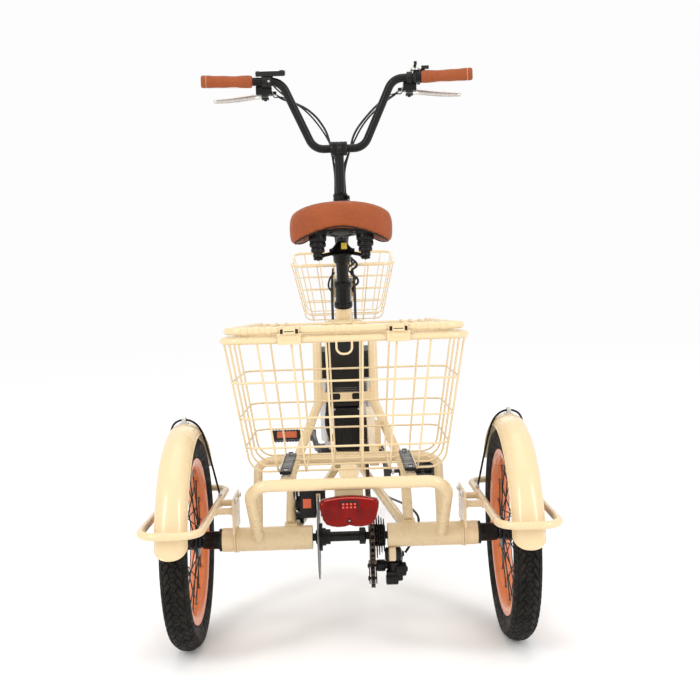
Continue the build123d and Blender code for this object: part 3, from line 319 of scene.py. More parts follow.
# ---------------------------------------------------------------------------
# Materials
# ---------------------------------------------------------------------------
class Finish:
    """A Principled surface with procedural colour, roughness and bump."""

    def __init__(self, name, colour, roughness, metallic=0.0, coat=0.0, specular=0.5):
        self.material = bpy.data.materials.new(name)
        self.material.use_nodes = True
        self.tree = self.material.node_tree
        self.shader = self.tree.nodes["Principled BSDF"]
        self.colour = (*colour, 1)
        values = {"Base Color": self.colour, "Roughness": roughness, "Metallic": metallic,
                  "Coat Weight": coat, "Coat Roughness": 0.12, "Specular IOR Level": specular}
        for socket, value in values.items():
            self.shader.inputs[socket].default_value = value
        self.place = self.node("ShaderNodeTexCoord").outputs["Object"]
        self.base = None
        self.height = None

    def node(self, kind, links=None, **values):
        node = self.tree.nodes.new(kind)
        for key, value in values.items():
            if hasattr(node, key):
                setattr(node, key, value)
        for key, value in (links or {}).items():
            socket = node.inputs[key]
            if isinstance(value, bpy.types.NodeSocket):
                self.tree.links.new(value, socket)
            else:
                socket.default_value = value
        return node

    def noise(self, scale, detail=4.0, stretch=(1, 1, 1), rough=0.55):
        """Noise of about scale cells to the metre."""
        place = self.node("ShaderNodeMapping", {"Vector": self.place, "Scale": stretch}).outputs[0]
        return self.node("ShaderNodeTexNoise", {"Vector": place, "Scale": scale, "Detail": detail,
                                                "Roughness": rough}).outputs[0]

    def cells(self, scale, feature="F1", randomness=1.0, stretch=(1, 1, 1)):
        place = self.node("ShaderNodeMapping", {"Vector": self.place, "Scale": stretch}).outputs[0]
        return self.node("ShaderNodeTexVoronoi", {"Vector": place, "Scale": scale, "Randomness": randomness},
                         feature=feature).outputs["Distance"]

    def ramp(self, mask, low, high, start=0.35, end=0.65):
        """mask mapped from start..end to low..high, held at both ends."""
        return self.node("ShaderNodeMapRange", {"Value": mask, "From Min": start, "From Max": end,
                                                "To Min": low, "To Max": high}).outputs[0]

    def tint(self, mask, colour, amount=1.0, start=0.35, end=0.65):
        """Colour laid over the base where mask is high."""
        share = self.ramp(mask, 0.0, amount, start, end)
        mix = self.node("ShaderNodeMix", data_type="RGBA")
        self.tree.links.new(share, mix.inputs[0])
        if self.base is None:
            mix.inputs[6].default_value = self.colour
        else:
            self.tree.links.new(self.base, mix.inputs[6])
        mix.inputs[7].default_value = (*colour, 1)
        self.base = mix.outputs[2]
        self.tree.links.new(self.base, self.shader.inputs["Base Color"])
        return self

    def rough(self, mask, low, high, start=0.35, end=0.65):
        self.tree.links.new(self.ramp(mask, low, high, start, end), self.shader.inputs["Roughness"])
        return self

    def bump(self, mask, depth_mm, strength=1.0):
        """Relief of the given depth, added on top of any bump already there."""
        node = self.node("ShaderNodeBump", {"Height": mask, "Strength": strength, "Distance": depth_mm * MM})
        if self.height is not None:
            self.tree.links.new(self.height, node.inputs["Normal"])
        self.height = node.outputs[0]
        self.tree.links.new(self.height, self.shader.inputs["Normal"])
        return self


def painted(name, colour, shade, roughness=0.26, coat=0.35, specular=0.5):
    """Stoved paint: a faint orange peel, slow shade changes, fine dust and dull patches."""
    paint = Finish(name, colour, roughness, coat=coat, specular=specular)
    paint.tint(paint.noise(7, 3), shade, 0.10, 0.4, 0.75)
    paint.tint(paint.noise(900, 2), shade, 0.10, 0.55, 0.8)
    paint.tint(paint.noise(60, 6, rough=0.7), tuple(c * 0.55 for c in shade), 0.06, 0.66, 0.85)
    paint.rough(paint.noise(30, 5), roughness * 0.8, roughness * 1.45)
    return paint.bump(paint.noise(260, 2), 0.10, 0.35).bump(paint.noise(1400, 2), 0.02, 0.3).material


def metal(name, colour, roughness, dark, stretch=(1, 1, 1)):
    """Worked metal: fine brushing, mill marks and a little tarnish."""
    steel = Finish(name, colour, roughness, metallic=1.0)
    steel.tint(steel.noise(120, 6, rough=0.7), dark, 0.55, 0.5, 0.75)
    steel.rough(steel.noise(500, 4, stretch), roughness * 0.75, roughness * 1.5)
    return steel.bump(steel.noise(900, 3, stretch), 0.03, 0.4).bump(steel.noise(90, 3), 0.08, 0.2).material


def moulded(name, colour, roughness, grain=1500.0, coat=0.0):
    """Moulded plastic: spark-eroded grain, faint flow marks and handling shine."""
    plastic = Finish(name, colour, roughness, coat=coat, specular=0.25)
    light = tuple(c * 1.9 + 0.004 for c in colour)
    plastic.tint(plastic.noise(25, 5), light, 0.35, 0.45, 0.75)
    plastic.rough(plastic.noise(45, 6), roughness * 0.75, min(roughness * 1.35, 1))
    return plastic.bump(plastic.noise(grain, 3), 0.05, 0.5).bump(plastic.noise(60, 2), 0.1, 0.15).material


def grained_leather(name, colour, deep, pale):
    """Soft coated leather: pebbled grain with creases, painted shade in the grain's grooves, mottled tone and
    worn high spots.
    """
    hide = Finish(name, colour, 0.5, specular=0.28)
    pebble = hide.cells(620, "DISTANCE_TO_EDGE")
    wrinkle = hide.noise(180, 6, rough=0.65)
    hide.tint(hide.noise(18, 4), deep, 0.55, 0.4, 0.75)
    hide.tint(hide.noise(300, 4), pale, 0.35, 0.5, 0.8)
    # Painted shade: darker in the grooves between the pebbles.
    hide.tint(pebble, tuple(c * 0.5 for c in deep), 0.5, 0.12, 0.0)
    hide.rough(hide.noise(90, 4), 0.42, 0.6)
    return hide.bump(hide.ramp(pebble, 0.0, 1.0, 0.0, 0.25), 0.22, 0.7).bump(wrinkle, 0.35, 0.35).material


def tyre_rubber(name, colour):
    """Moulded tyre rubber: dusty grey bloom, mould lines and a fine matt skin."""
    rubber = Finish(name, colour, 0.62, specular=0.12)
    rubber.tint(rubber.noise(35, 6, rough=0.7), (0.05, 0.041, 0.032), 0.4, 0.45, 0.75)
    rubber.tint(rubber.noise(700, 3), (0.1, 0.085, 0.07), 0.25, 0.6, 0.85)
    rubber.rough(rubber.noise(80, 5), 0.5, 0.8)
    return rubber.bump(rubber.noise(1100, 3), 0.08, 0.5).bump(rubber.noise(150, 3), 0.15, 0.3).material


def lens_red(name):
    """Clear red lens: a prism grid under a polished outer skin."""
    lens = Finish(name, (0.22, 0.004, 0.002), 0.12, specular=0.1)
    prism = lens.cells(330, "F1", 0.0)
    lens.tint(prism, (0.42, 0.008, 0.004), 0.6, 0.25, 0.0)
    lens.tint(lens.noise(40, 3), (0.07, 0.0, 0.0), 0.5, 0.45, 0.7)
    lens.shader.inputs["Transmission Weight"].default_value = 0.12
    return lens.bump(prism, 0.4, 0.5).bump(lens.noise(25, 2), 0.2, 0.1).material


def reflector(name, colour, bright):
    """A pedal reflector: bright triangular cells."""
    amber = Finish(name, colour, 0.15, coat=0.7)
    prism = amber.cells(420, "F1", 0.0)
    amber.tint(prism, bright, 0.9, 0.3, 0.05)
    return amber.bump(prism, 0.4, 0.8).material


def screen_glass(name):
    """A switched-off display: a grey-green panel with a faint segment grid under glass."""
    glass = Finish(name, (0.05, 0.06, 0.055), 0.08, coat=1.0)
    glass.tint(glass.cells(500, "F1", 0.0), (0.16, 0.18, 0.16), 0.5, 0.2, 0.5)
    return glass.tint(glass.noise(30, 2), (0.02, 0.02, 0.02), 0.5, 0.4, 0.7).material


CREAM = painted("cream_paint", (0.75, 0.58, 0.34), (0.62, 0.45, 0.24))
ORANGE = painted("orange_rim_paint", (0.72, 0.19, 0.055), (0.45, 0.10, 0.03), 0.3)
BLACK = painted("black_paint", (0.007, 0.0065, 0.006), (0.014, 0.013, 0.012), 0.26, 0.0, 0.22)
LEATHER = grained_leather("tan_leather", (0.36, 0.082, 0.020), (0.25, 0.052, 0.012), (0.46, 0.15, 0.055))
RUBBER = tyre_rubber("tyre_rubber", (0.009, 0.008, 0.007))
PLASTIC = moulded("black_plastic", (0.013, 0.0125, 0.012), 0.45)
SOFT_BLACK_AND_GAP_SHADE = moulded("soft_black_rubber_and_gap_shade", (0.012, 0.012, 0.011), 0.55, 900)
CABLE = moulded("cable_sheath", (0.012, 0.012, 0.012), 0.32, 2600, 0.2)
STEEL = metal("bright_steel", (0.62, 0.60, 0.57), 0.28, (0.35, 0.32, 0.28))
DARK_STEEL = metal("dark_steel", (0.19, 0.18, 0.17), 0.38, (0.07, 0.055, 0.045))
ALLOY = metal("alloy", (0.55, 0.54, 0.53), 0.35, (0.38, 0.37, 0.36), (1, 1, 6))
COPPER = metal("oiled_chain_steel", (0.10, 0.068, 0.05), 0.42, (0.03, 0.02, 0.016))
RED_LENS = lens_red("red_lens")
AMBER = reflector("amber_reflector", (0.55, 0.09, 0.02), (0.85, 0.25, 0.06))
GLASS = screen_glass("display_glass")
STICKER = painted("orange_sticker", (0.75, 0.12, 0.03), (0.55, 0.08, 0.02), 0.35, 0.1)
YELLOW = painted("yellow_sticker", (0.85, 0.60, 0.05), (0.7, 0.45, 0.03), 0.35, 0.1)
RED_EDGE = reflector("red_light_edge", (0.62, 0.05, 0.03), (0.85, 0.25, 0.15))
RED_DARK = moulded("red_lens_ribs", (0.05, 0.0, 0.0), 0.3)
CRANK_GREY = painted("crank_grey", (0.03, 0.03, 0.03), (0.05, 0.048, 0.046), 0.32, 0.1, 0.4)
SEAM_GREY = moulded("seam_grey", (0.10, 0.10, 0.095), 0.4)
PALE_THREAD = moulded("pale_thread", (0.50, 0.26, 0.13), 0.6, 2000)

CAD_FINISH = {
    CREAM: "front_frame rear_frame axle_housings rack_hoops wheel_guards rear_basket basket_lid chain_guard "
           "front_basket",
    BLACK: "seat_collar seatpost saddle_clamp fork_upper stem_post handlebar crankset basket_clamps "
           "stem_lever",
    DARK_STEEL: "axle_bearings drive_axle frame_bearings front_axle derailleur_body derailleur_cage chain "
                "brake_rotor",
    STEEL: "brake_lever_left brake_lever_right",
    ALLOY: "fork_lowers",
    PLASTIC: "battery_pack controller_box brake_caliper lever_brackets display bell_lever shift_lever",
    SOFT_BLACK_AND_GAP_SHADE: "saddle_base saddle_springs",
    CABLE: "control_cables steering_cables frame_cables",
}
for material, names in CAD_FINISH.items():
    for name in names.split():
        NODES[name].data.materials.clear()
        NODES[name].data.materials.append(material)


# ---------------------------------------------------------------------------
# Wheels
# ---------------------------------------------------------------------------
WHEEL_R = 204.0
TREAD_PITCHES = 68
TREAD_STEPS = 14
TREAD_DEPTH = 2.6
TREAD_HALF = 24.4
TREAD_COLUMNS = 46
LINER_R = 198.0


def step(value, edge, soft):
    """0 below edge and 1 above it, over a soft band."""
    share = min(max((value - edge) / soft + 0.5, 0.0), 1.0)
    return share * share * (3 - 2 * share)


def slot_mask(phase, width):
    """1 inside a slot of the given share of each pitch."""
    away = abs(phase - round(phase))
    return 1 - step(away, width / 2, 0.05)


def tread_groove(pitch, across):
    """How deep the tread is cut, from 0 on a block to 1 in a groove."""
    side = 0.5 if across > 0 else 0.0
    phase = pitch + side
    away = abs(across)
    edge = 6.6 + 2.4 * sin(2 * pi * phase)
    rib = 1 - step(abs(away - edge), 0.9, 0.8)
    curl = 0.055 * (away - 6) + 0.02 * (away - 6) ** 1.3 if away > 6 else 0.0
    leaf = slot_mask(phase - curl, 0.16)
    leaf *= step(away, edge, 0.8) * (1 - step(away, 17.0, 0.8))
    channel = 1 - step(abs(away - 17.2), 0.9, 0.7)
    lug = slot_mask(phase + 0.5, 0.26) * step(away, 17.5, 0.8)
    sipe = slot_mask(phase * 2 + 0.25, 0.14) * (1 - step(away, 3.2, 0.8)) * 0.6
    return max(rib * 0.8, leaf, channel * 0.8, lug, sipe)


def crown(across):
    """The tread's radius at a place across it."""
    share = min(abs(across) / 25.0, 1.0)
    return WHEEL_R - 13.5 * share ** 2.6


def tyre_mesh():
    """A tyre round the origin, with its tread cut into the mesh."""
    wall = [(24.9, 188.0), (25.3, 184.0), (25.0, 179.5), (24.0, 175.5), (23.6, 175.3), (23.3, 174.0),
            (21.0, 168.5), (20.5, 168.3), (18.2, 163.4), (17.4, 161.2), (16.9, 160.4), (16.0, 159.9),
            (14.7, 158.8), (14.5, 151.2), (11.0, 151.0), (11.0, 160.0), (17.0, 170.0), (20.0, 182.0),
            (12.0, 194.0)]
    left = [(-x, r) for x, r in reversed(wall)]
    right = wall + [(0.0, LINER_R)]
    steps = TREAD_PITCHES * TREAD_STEPS
    rows = []
    for i in range(steps):
        angle = 2 * pi * i / steps
        radial = Vector((0, cos(angle), sin(angle)))
        pitch = i / TREAD_STEPS
        row = [X * x + radial * r for x, r in left]
        for k in range(TREAD_COLUMNS):
            across = -TREAD_HALF + 2 * TREAD_HALF * k / (TREAD_COLUMNS - 1)
            depth = TREAD_DEPTH * tread_groove(pitch, across)
            row.append(X * across + radial * (crown(across) - depth))
        row += [X * x + radial * r for x, r in right]
        rows.append(row)
    tyre = Shape()
    tyre.skin(rows, close_rows=True)
    return tyre


def rim_mesh():
    """A box-section rim round the origin: rolled edges, a shallow well and eyelets."""
    rim = Shape()
    outline = [(-18.5, 158.2), (-17.9, 158.8), (-16.6, 158.6), (-15.2, 157.0), (-15.2, 150.0), (15.2, 150.0),
               (15.2, 157.0), (16.6, 158.6), (17.9, 158.8), (18.5, 158.2), (18.5, 149.5), (17.9, 147.6),
               (15.5, 143.6), (12.6, 141.0), (10.5, 140.2), (0, 139.8), (-10.5, 140.2), (-12.6, 141.0),
               (-15.5, 143.6), (-17.9, 147.6), (-18.5, 149.5)]
    rim.turned(outline, (0, 0, 0), X, 180)
    return rim


SPOKES = 36
NIPPLE_R = 139.0


def spoke_ends(index, flange_r, flange_x, cross):
    """Where a spoke leaves its flange and where it meets the rim."""
    at_rim = 2 * pi * (index + 0.5) / SPOKES
    side = -1 if index % 2 else 1
    lean = cross if index % 4 < 2 else -cross
    at_hub = at_rim + lean
    hub = Vector((side * flange_x, flange_r * cos(at_hub), flange_r * sin(at_hub)))
    rim = Vector((side * 3.5, NIPPLE_R * cos(at_rim), NIPPLE_R * sin(at_rim)))
    return hub, rim


def spokes_mesh(flange_r, flange_x, cross):
    """Laced spokes with their nipples, and the valve."""
    spokes = Shape()
    for index in range(SPOKES):
        hub, rim = spoke_ends(index, flange_r, flange_x, cross)
        spokes.part = 0
        outward = Vector((1 if hub.x > 0 else -1, 0, 0))
        spokes.bar([hub - outward * 3, hub, rim], 1.15, 7)
        run = (rim - hub).normalized()
        spokes.part = 1
        spokes.rod(rim - run * 11, rim + run * 2, 2.1, 8)
    spokes.part = 0
    spokes.rod(Z * 104, Z * 141, 3.0, 12)
    spokes.rod(Z * 100, Z * 118, 4.2, 12)
    return spokes


REAR_BARREL = [(-26, 8), (-26, 13), (-24, 14.5), (-21.5, 15), (-20.5, 28), (-19.7, 29.5), (-18.2, 30.5),
               (-16.8, 30.5), (-15.8, 29), (-14.5, 20), (-11, 17), (11, 17), (14.5, 20), (15.8, 29),
               (16.8, 30.5), (18.2, 30.5), (19.7, 29.5), (20.5, 28), (21.5, 15), (24, 14.5), (26, 13),
               (26, 8)]
MOTOR_BARREL = [(-40, 6.2), (-40, 17), (-38, 18.5), (-33, 20), (-30, 40), (-28, 54), (-25, 59), (-20.5, 61),
                (-20, 66), (-18.8, 67.5), (-17.2, 67.5), (-16, 66), (-15.5, 61), (15.5, 61), (16, 66),
                (17.2, 67.5), (18.8, 67.5), (20, 66), (20.5, 61), (25, 59), (28, 54), (30, 40), (33, 20),
                (38, 18.5), (40, 17), (40, 6.2)]
shared_meshes = {}


def wheel(centre, body, tyre_node, rim_node, hub_node, barrel, flange_r, flange_x, cross):
    """Tyre, rim, hub and spokes round one axle point. The wheels share one tyre and one rim mesh."""
    for build, material, slot, node in ((tyre_mesh, RUBBER, "tyre_rubber", tyre_node),
                                        (rim_mesh, ORANGE, "orange_rim", rim_node)):
        if slot in shared_meshes:
            place_mesh("shown_" + node, shared_meshes[slot], body, slot, node, origin=centre)
        else:
            shown = build().make("shown_" + node, body, material, slot, node, origin=centre)
            shared_meshes[slot] = shown.data
    hub = Shape()
    hub.turned(barrel, (0, 0, 0), X, 64)
    for angle in ring_of(6) if flange_r > 50 else ():
        hub.cap_screw((29.6, 44 * cos(angle), 44 * sin(angle)), X, 3.0, 2.2)
    hub.make("shown_" + hub_node, body, BLACK, "black_paint", hub_node, origin=centre)
    spokes = spokes_mesh(flange_r - 3, flange_x, cross)
    spokes.make(hub_node.replace("hub", "spokes"), body, [BLACK, DARK_STEEL], "black_paint",
                origin=centre)


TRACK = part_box("rear_tyre_right")
TRACK_HALF = (TRACK[0].x + TRACK[1].x) / 2 / MM
for side, hand, body in ((1, "right", "axle"), (-1, "left", "left_wheel")):
    wheel(AXLE + X * side * TRACK_HALF, body, "rear_tyre_" + hand, "rear_rim_" + hand, "rear_hub_" + hand,
          REAR_BARREL, 29, 18.5, radians(62))
wheel(FRONT, "front_wheel", "front_tyre", "front_rim", "front_hub", MOTOR_BARREL, 66, 18, radians(30))


# ---------------------------------------------------------------------------
# Fenders
# ---------------------------------------------------------------------------
FENDER_R = 228.0
FENDER_HALF = 28.0
FENDER_DROP = 22.0
FENDER_SHEET = 1.5
FENDER_COLUMNS, FENDER_ROWS = 22, 96


def fender(name, body, centre, start, arc, node=None):
    """A crowned sheet over a wheel with rounded ends and rolled edges."""
    tongue = degrees(FENDER_HALF / FENDER_R) * 0.75

    def spot(along, across, inset):
        lean = across * pi / 2 * 0.97
        x = (FENDER_HALF - inset) * sin(lean)
        r = FENDER_R - inset - (FENDER_DROP - inset) * (1 - cos(lean))
        rounding = tongue * (1 - sqrt(max(1 - (abs(x) / FENDER_HALF) ** 2.4, 0)))
        angle = radians(start + rounding + (arc - 2 * rounding) * along)
        return centre + X * x + Vector((0, cos(angle), sin(angle))) * r

    shares = [-1 + 2 * k / FENDER_COLUMNS for k in range(FENDER_COLUMNS + 1)]
    outer, inner = ([[spot(i / FENDER_ROWS, share, inset) for share in shares]
                     for i in range(FENDER_ROWS + 1)] for inset in (0, FENDER_SHEET))
    sheet = Shape()
    sheet.skin([a + list(reversed(b)) for a, b in zip(outer, inner)])
    for a, b in ((outer[0], inner[0]), (outer[-1], inner[-1])):
        sheet.skin([a, b], close_row=False)
    rim_path = ([row[0] for row in outer] + outer[-1][1:-1] + [row[-1] for row in reversed(outer)]
                + list(reversed(outer[0][1:-1])))
    inward = [p + (centre + X * (p.x - centre.x) - p).normalized() * 1.0 for p in rim_path]
    sheet.bar(inward, 1.5, 8, closed=True)
    sheet.make(name, body, CREAM, "cream_paint", *([node] if node else []))


fender("fender_left", "frame", AXLE - X * TRACK_HALF, 30, 145)
fender("fender_right", "frame", AXLE + X * TRACK_HALF, 30, 145, "rear_fenders")
fender("fender_front", "lowers", FRONT, 48, 150, "front_fender")

STAY_HALF = [(53, 80, 277.2), (41, 54, 350), (31.5, 26, 406), (20, 5, 431), (0, 1, 439)]
stays = Shape()
for side in both(1):
    middle = side * TRACK_HALF
    feet = [(middle - side * x, y, z) for x, y, z in STAY_HALF]
    feet += [(middle + side * x, y, z) for x, y, z in STAY_HALF[-2::-1]]
    stays.part = 0
    stays.bar(smooth_line(feet, 8), 2.1, 10)
    stays.part = 1
    for foot in (feet[0], feet[-1]):
        outward = Vector((1 if foot[0] > side * 300 else -1, 0, 0))
        stays.turned(ring(3, 2, 5.5), foot, X, 20)
        stays.bolt(Vector(foot) + outward * 0.5, outward, 7, 3.5)
    stays.box((middle - 8, -9, 431.0), (middle + 8, 12, 433.2), 0.6)
    stays.box((middle - 4, -6, 432), (middle + 4, 8, 441.6), 1.2)
    stays.bolt((middle, 4, 441.2), Z, 6, 2.6)
stays.make("fender_stay_wires", "frame", [BLACK, STEEL], "bright_steel", "fender_stays")


# ---------------------------------------------------------------------------
# Seat
# ---------------------------------------------------------------------------
SADDLE_LOW, SADDLE_HIGH = (corner / MM - Y * REAR_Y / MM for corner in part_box("saddle_cushion"))
SADDLE_BACK, SADDLE_FRONT, SADDLE_TOP = SADDLE_LOW.y, SADDLE_HIGH.y, SADDLE_HIGH.z
SADDLE_HALF = SADDLE_HIGH.x
PAN_TOP = 811.5


def saddle_edge(count=96):
    """The saddle's outline from above, as points round it: broad behind, a short nose ahead."""
    length = SADDLE_FRONT - SADDLE_BACK
    half = [(0, 0), (0.36, 0.012), (0.68, 0.06), (0.93, 0.17), (1.0, 0.30), (0.93, 0.44), (0.76, 0.58),
            (0.57, 0.74), (0.42, 0.88), (0.22, 0.975), (0, 1)]
    loop = [Vector((x * SADDLE_HALF, SADDLE_BACK + y * length, 0)) for x, y in half]
    loop += [Vector((-p.x, p.y, 0)) for p in reversed(loop[1:-1])]
    line = smooth_line(loop[-3:] + loop + loop[:3], 10)[30:-20]
    return [line[int(k * len(line) / count)] for k in range(count)]


def beside_spine(p):
    """The point of the saddle's middle line that an edge point is drawn in towards."""
    return Vector((0, min(max(p.y, SADDLE_BACK + 70), SADDLE_FRONT - 60), 0))


def saddle_low(p):
    """How low the cushion's skirt hangs: arched over the springs behind and raised at the nose."""
    behind = 1 - step(p.y, SADDLE_BACK + 95, 90)
    arch = behind * max(1 - (abs(p.x) / SADDLE_HALF) ** 1.7, 0)
    nose = step(p.y, SADDLE_BACK + 165, 110)
    return SADDLE_LOW.z + 3 + 31 * arch + 27 * nose


def saddle_dome(x):
    """How far the crown falls away to the sides."""
    return 21 * (abs(x) / SADDLE_HALF) ** 2.3


def saddle_rows(inset):
    """Rows of the cushion's closed form, from the pocket's roof round the lip to the crown."""
    edge = saddle_edge()
    rows = []

    def row(share, height):
        points = []
        for p in edge:
            spine = beside_spine(p)
            flat = spine + (p - spine) * share
            z = height(p) if callable(height) else height
            if z > PAN_TOP + 1:
                z -= saddle_dome(flat.x) * (z - PAN_TOP) / (SADDLE_TOP - PAN_TOP)
            points.append(Vector((flat.x, flat.y, z)))
        rows.append(points)

    for share in (0.02, 0.5, 0.80):
        row(share, PAN_TOP)
    for share, lift in ((0.84, 8), (0.875, 1), (0.93, 0), (0.965, 5)):
        row(share, lambda p: saddle_low(p) + lift + inset)
    for share, up in ((0.985, 0.22), (0.99, 0.45), (0.98, 0.65), (0.945, 0.83)):
        row(share, lambda p: saddle_low(p) + (SADDLE_TOP - saddle_low(p)) * up)
    for share, drop in ((0.88, 7.5), (0.76, 3.0), (0.55, 1.4), (0.3, 2.6), (0.02, 3.6)):
        row(share, SADDLE_TOP - drop - inset)
    return rows


def puff(obj, pressure, cap, frames=20):
    """Fill a closed mesh by cloth simulation, with no point moving further than cap."""
    scene = bpy.context.scene
    rest = [v.co.copy() for v in obj.data.vertices]
    cloth = obj.modifiers.new("fill", "CLOTH")
    cloth.settings.use_pressure = True
    cloth.settings.uniform_pressure_force = pressure
    cloth.settings.effector_weights.gravity = 0
    cloth.settings.tension_stiffness = 30
    cloth.settings.bending_stiffness = 4
    for number in range(1, frames + 1):
        scene.frame_set(number)
    evaluated = obj.evaluated_get(bpy.context.evaluated_depsgraph_get())
    moved = [v.co.copy() for v in evaluated.data.vertices]
    obj.modifiers.remove(cloth)
    scene.frame_set(1)
    for vertex, start, end in zip(obj.data.vertices, rest, moved):
        shift = end - start
        vertex.co = start + shift * min(1, cap / max(shift.length, 1e-9))


def applied(obj):
    """Replace obj's mesh by what its modifiers make of it."""
    evaluated = obj.evaluated_get(bpy.context.evaluated_depsgraph_get())
    mesh = bpy.data.meshes.new_from_object(evaluated)
    obj.modifiers.clear()
    obj.data = mesh


COVER_INSET = 2.2
COVER_VOXEL, COVER_SWELL, COVER_PRESSURE = 0.0048, 0.0024, 4.0
saddle = Shape()
saddle.skin(saddle_rows(COVER_INSET), caps=True)
cushion = saddle.make("saddle_cover", "saddle", LEATHER, "tan_leather", "saddle_cushion")
remesh = cushion.modifiers.new("remesh", "REMESH")
remesh.mode = "VOXEL"
remesh.voxel_size = COVER_VOXEL
applied(cushion)
puff(cushion, COVER_PRESSURE, COVER_SWELL)
relax = cushion.modifiers.new("relax", "SMOOTH")
relax.factor, relax.iterations = 0.5, 4
subdivision = cushion.modifiers.new("subdivision", "SUBSURF")
subdivision.levels = subdivision.render_levels = 1
applied(cushion)
cushion.data.shade_smooth()
cushion.data.materials.clear()
cushion.data.materials.append(LEATHER)

welt = Shape()
welt.bar([beside_spine(p).lerp(p, 0.90) + Z * (saddle_low(p) + 5.0) for p in saddle_edge()], 1.5, 8,
         closed=True)
welt.make("saddle_welt", "saddle", SOFT_BLACK_AND_GAP_SHADE, "black_plastic")

SPRING_X, SPRING_Y, SPRING_LOW, PAN_LOW = 52.0, 300.0, 750.0, 804.0
springs = Shape()
for x in both(SPRING_X):
    foot = Vector((x, SPRING_Y, SPRING_LOW))
    ribs = [(0, 0), (0, 9), (1.5, 10.8), (6, 11.2), (8, 10.4), (8.6, 9.6), (10, 9.8), (11, 13.6), (13, 15),
            (18, 15.2), (20.4, 14), (21, 13.2), (22, 13.4), (23, 16.6), (26, 18), (31, 18.2), (33.4, 17),
            (34, 16), (35, 16.2), (36, 18.4), (39, 19.6), (45, 19.6), (48, 19), (51.5, 19.4), (51.5, 0)]
    springs.part = 0
    springs.turned(ribs, foot, Z, 40)
    springs.part = 1
    for height, radius in ((8.6, 10.6), (21, 14.4), (34, 17.4), (48.6, 20)):
        springs.turned(ring(0.7, radius - 2, radius), foot + Z * height, Z, 40)
BOUNCE = ("seat_stem", "saddle", Vector((0, SPRING_Y, SPRING_LOW + 4)), Vector((0, SPRING_Y, PAN_LOW - 2)))
springs.make("saddle_spring_stacks", BOUNCE, [BLACK, PLASTIC], "black_plastic", "saddle_springs")

POST_TOP = seat_line(500)
clamp = Shape()
clamp.turned([(-24, 13.7), (-24, 17), (-21, 19.5), (-6, 20), (-5, 24), (-2, 25.5), (2, 25.5), (4, 24),
              (5, 20), (8, 22), (19, 14), (22, 11), (22, 0), (1, 0), (1, 13.7)], POST_TOP, SEAT_DIR, 40)
clamp.box((-22, 352, 758), (22, 384, 774), 4)
clamp.bolt((22, 368, 766), X, 10, 7)
clamp.bolt((-22, 368, 766), -X, 10, 6)
for x in both(1):
    clamp.bar(rounded([(16 * x, 372, 766), (16 * x, 462, 768), (11.2 * x, 486, 780)], 14), 3.6, 12)
    clamp.bar(rounded([(9 * x, 366, 764), (40 * x, 330, 756), (SPRING_X * x, SPRING_Y, 747)], 16), 4.2, 12)
    clamp.turned([(-5.5, 2), (-5.5, 8), (-4, 10), (-1.6, 10.6), (-0.4, 10), (-0.4, 2)],
                 (SPRING_X * x, SPRING_Y, SPRING_LOW), Z, 36)
clamp.make("saddle_clamp_parts", "seat_stem", BLACK, "black_paint", "saddle_clamp")

label = Shape()
label.box((-1, 334.4, 769), (12, 336.2, 783), 0.5)
label.make("yellow_size_sticker", "seat_stem", YELLOW, "red_lens")

pan = Shape()
for x in both(1):
    rib = [(x * 18, 262, 802.2), (x * 26, 330, 801.6), (x * 16, 420, 801.8), (x * 6, 470, 802.4)]
    pan.bar(smooth_line(rib, 8), 2.2, 8)
    pan.turned([(0, 0), (0, 21.5), (2, 22.5), (3, 22.5), (3, 0)], (x * SPRING_X, SPRING_Y, 801.2), Z, 36)
pan.make("saddle_pan_ribs", "saddle", SOFT_BLACK_AND_GAP_SHADE, "black_plastic")

collar_trim = Shape()
collar_trim.turned([(-2, 18.1), (-2, 20.4), (0, 21), (7, 21), (9, 20), (9, 18.1)],
                   seat_line(373), SEAT_DIR, 40)
collar_trim.turned([(0, 17.2), (0, 19.6), (1, 20), (9, 20), (10, 19.6), (10, 17.2)],
                   seat_line(419), SEAT_DIR, 40)
collar_trim.cap_screw(seat_line(424, back=19), -Y, 4.2, 5)
lug_y, lug_z = seat_line(424, 15).y, seat_line(424).z
collar_trim.box((-9, lug_y - 6, lug_z - 11), (9, lug_y + 4, lug_z + 3), 1.5)
collar_trim.make("seat_collar_bands", "frame", BLACK, "black_paint")

# ---------------------------------------------------------------------------
# Handlebar, grips, controls
# ---------------------------------------------------------------------------
BAR_Z, BAR_END_Y, BAR_BEND_Y, BAR_BEND_X, BAR_HALF = 1243.0, 828.0, 858.0, 150.0, 360.0


def on_bar(side, x, ahead=0.0, up=0.0):
    """A point on the straight end of the handlebar, x from the middle."""
    share = (x - BAR_BEND_X) / (BAR_HALF - BAR_BEND_X)
    return Vector((side * x, BAR_BEND_Y + (BAR_END_Y - BAR_BEND_Y) * share + ahead, BAR_Z + up))


def bar_direction(side):
    return (on_bar(side, BAR_HALF) - on_bar(side, BAR_BEND_X)).normalized()


grips = Shape()
for side in both(1):
    along = bar_direction(side)
    start = on_bar(side, 227)
    grips.part = 0
    body = [(0, 11.2), (0, 13.5), (1, 15.2), (3, 16.3), (7, 16.6)]
    for k in range(1, 25):
        body.append((7 + 108 * k / 24, 16.6 - 1.7 * sin(pi * k / 24) + 0.5 * sin(4 * pi * k / 24)))
    body += [(121, 16.3), (122, 15.7), (124, 15.7), (125, 16.6), (131, 16.6), (134.5, 15.2), (136, 12.5),
             (136.2, 8), (135.6, 6), (135.6, 0)]
    grips.turned(body, start, along, 48)
    grips.part = 1
    grips.turned([(121.9, 15.6), (121.9, 16.5), (122.6, 16.9), (123.4, 16.9), (124.1, 16.5), (124.1, 15.6)],
                 start, along, 48)
    below = along.cross(Y).normalized()
    below = below if below.z < 0 else -below
    for k in range(27):
        place = start + along * (7 + 4.1 * k) + below * 16.2
        slant = along * 1.4 + Y
        grips.bar([place - slant, place + below * 0.5, place + slant], 0.45, 6)
grips.make("leather_grips", "stem", [LEATHER, PALE_THREAD], "tan_leather", "grips")

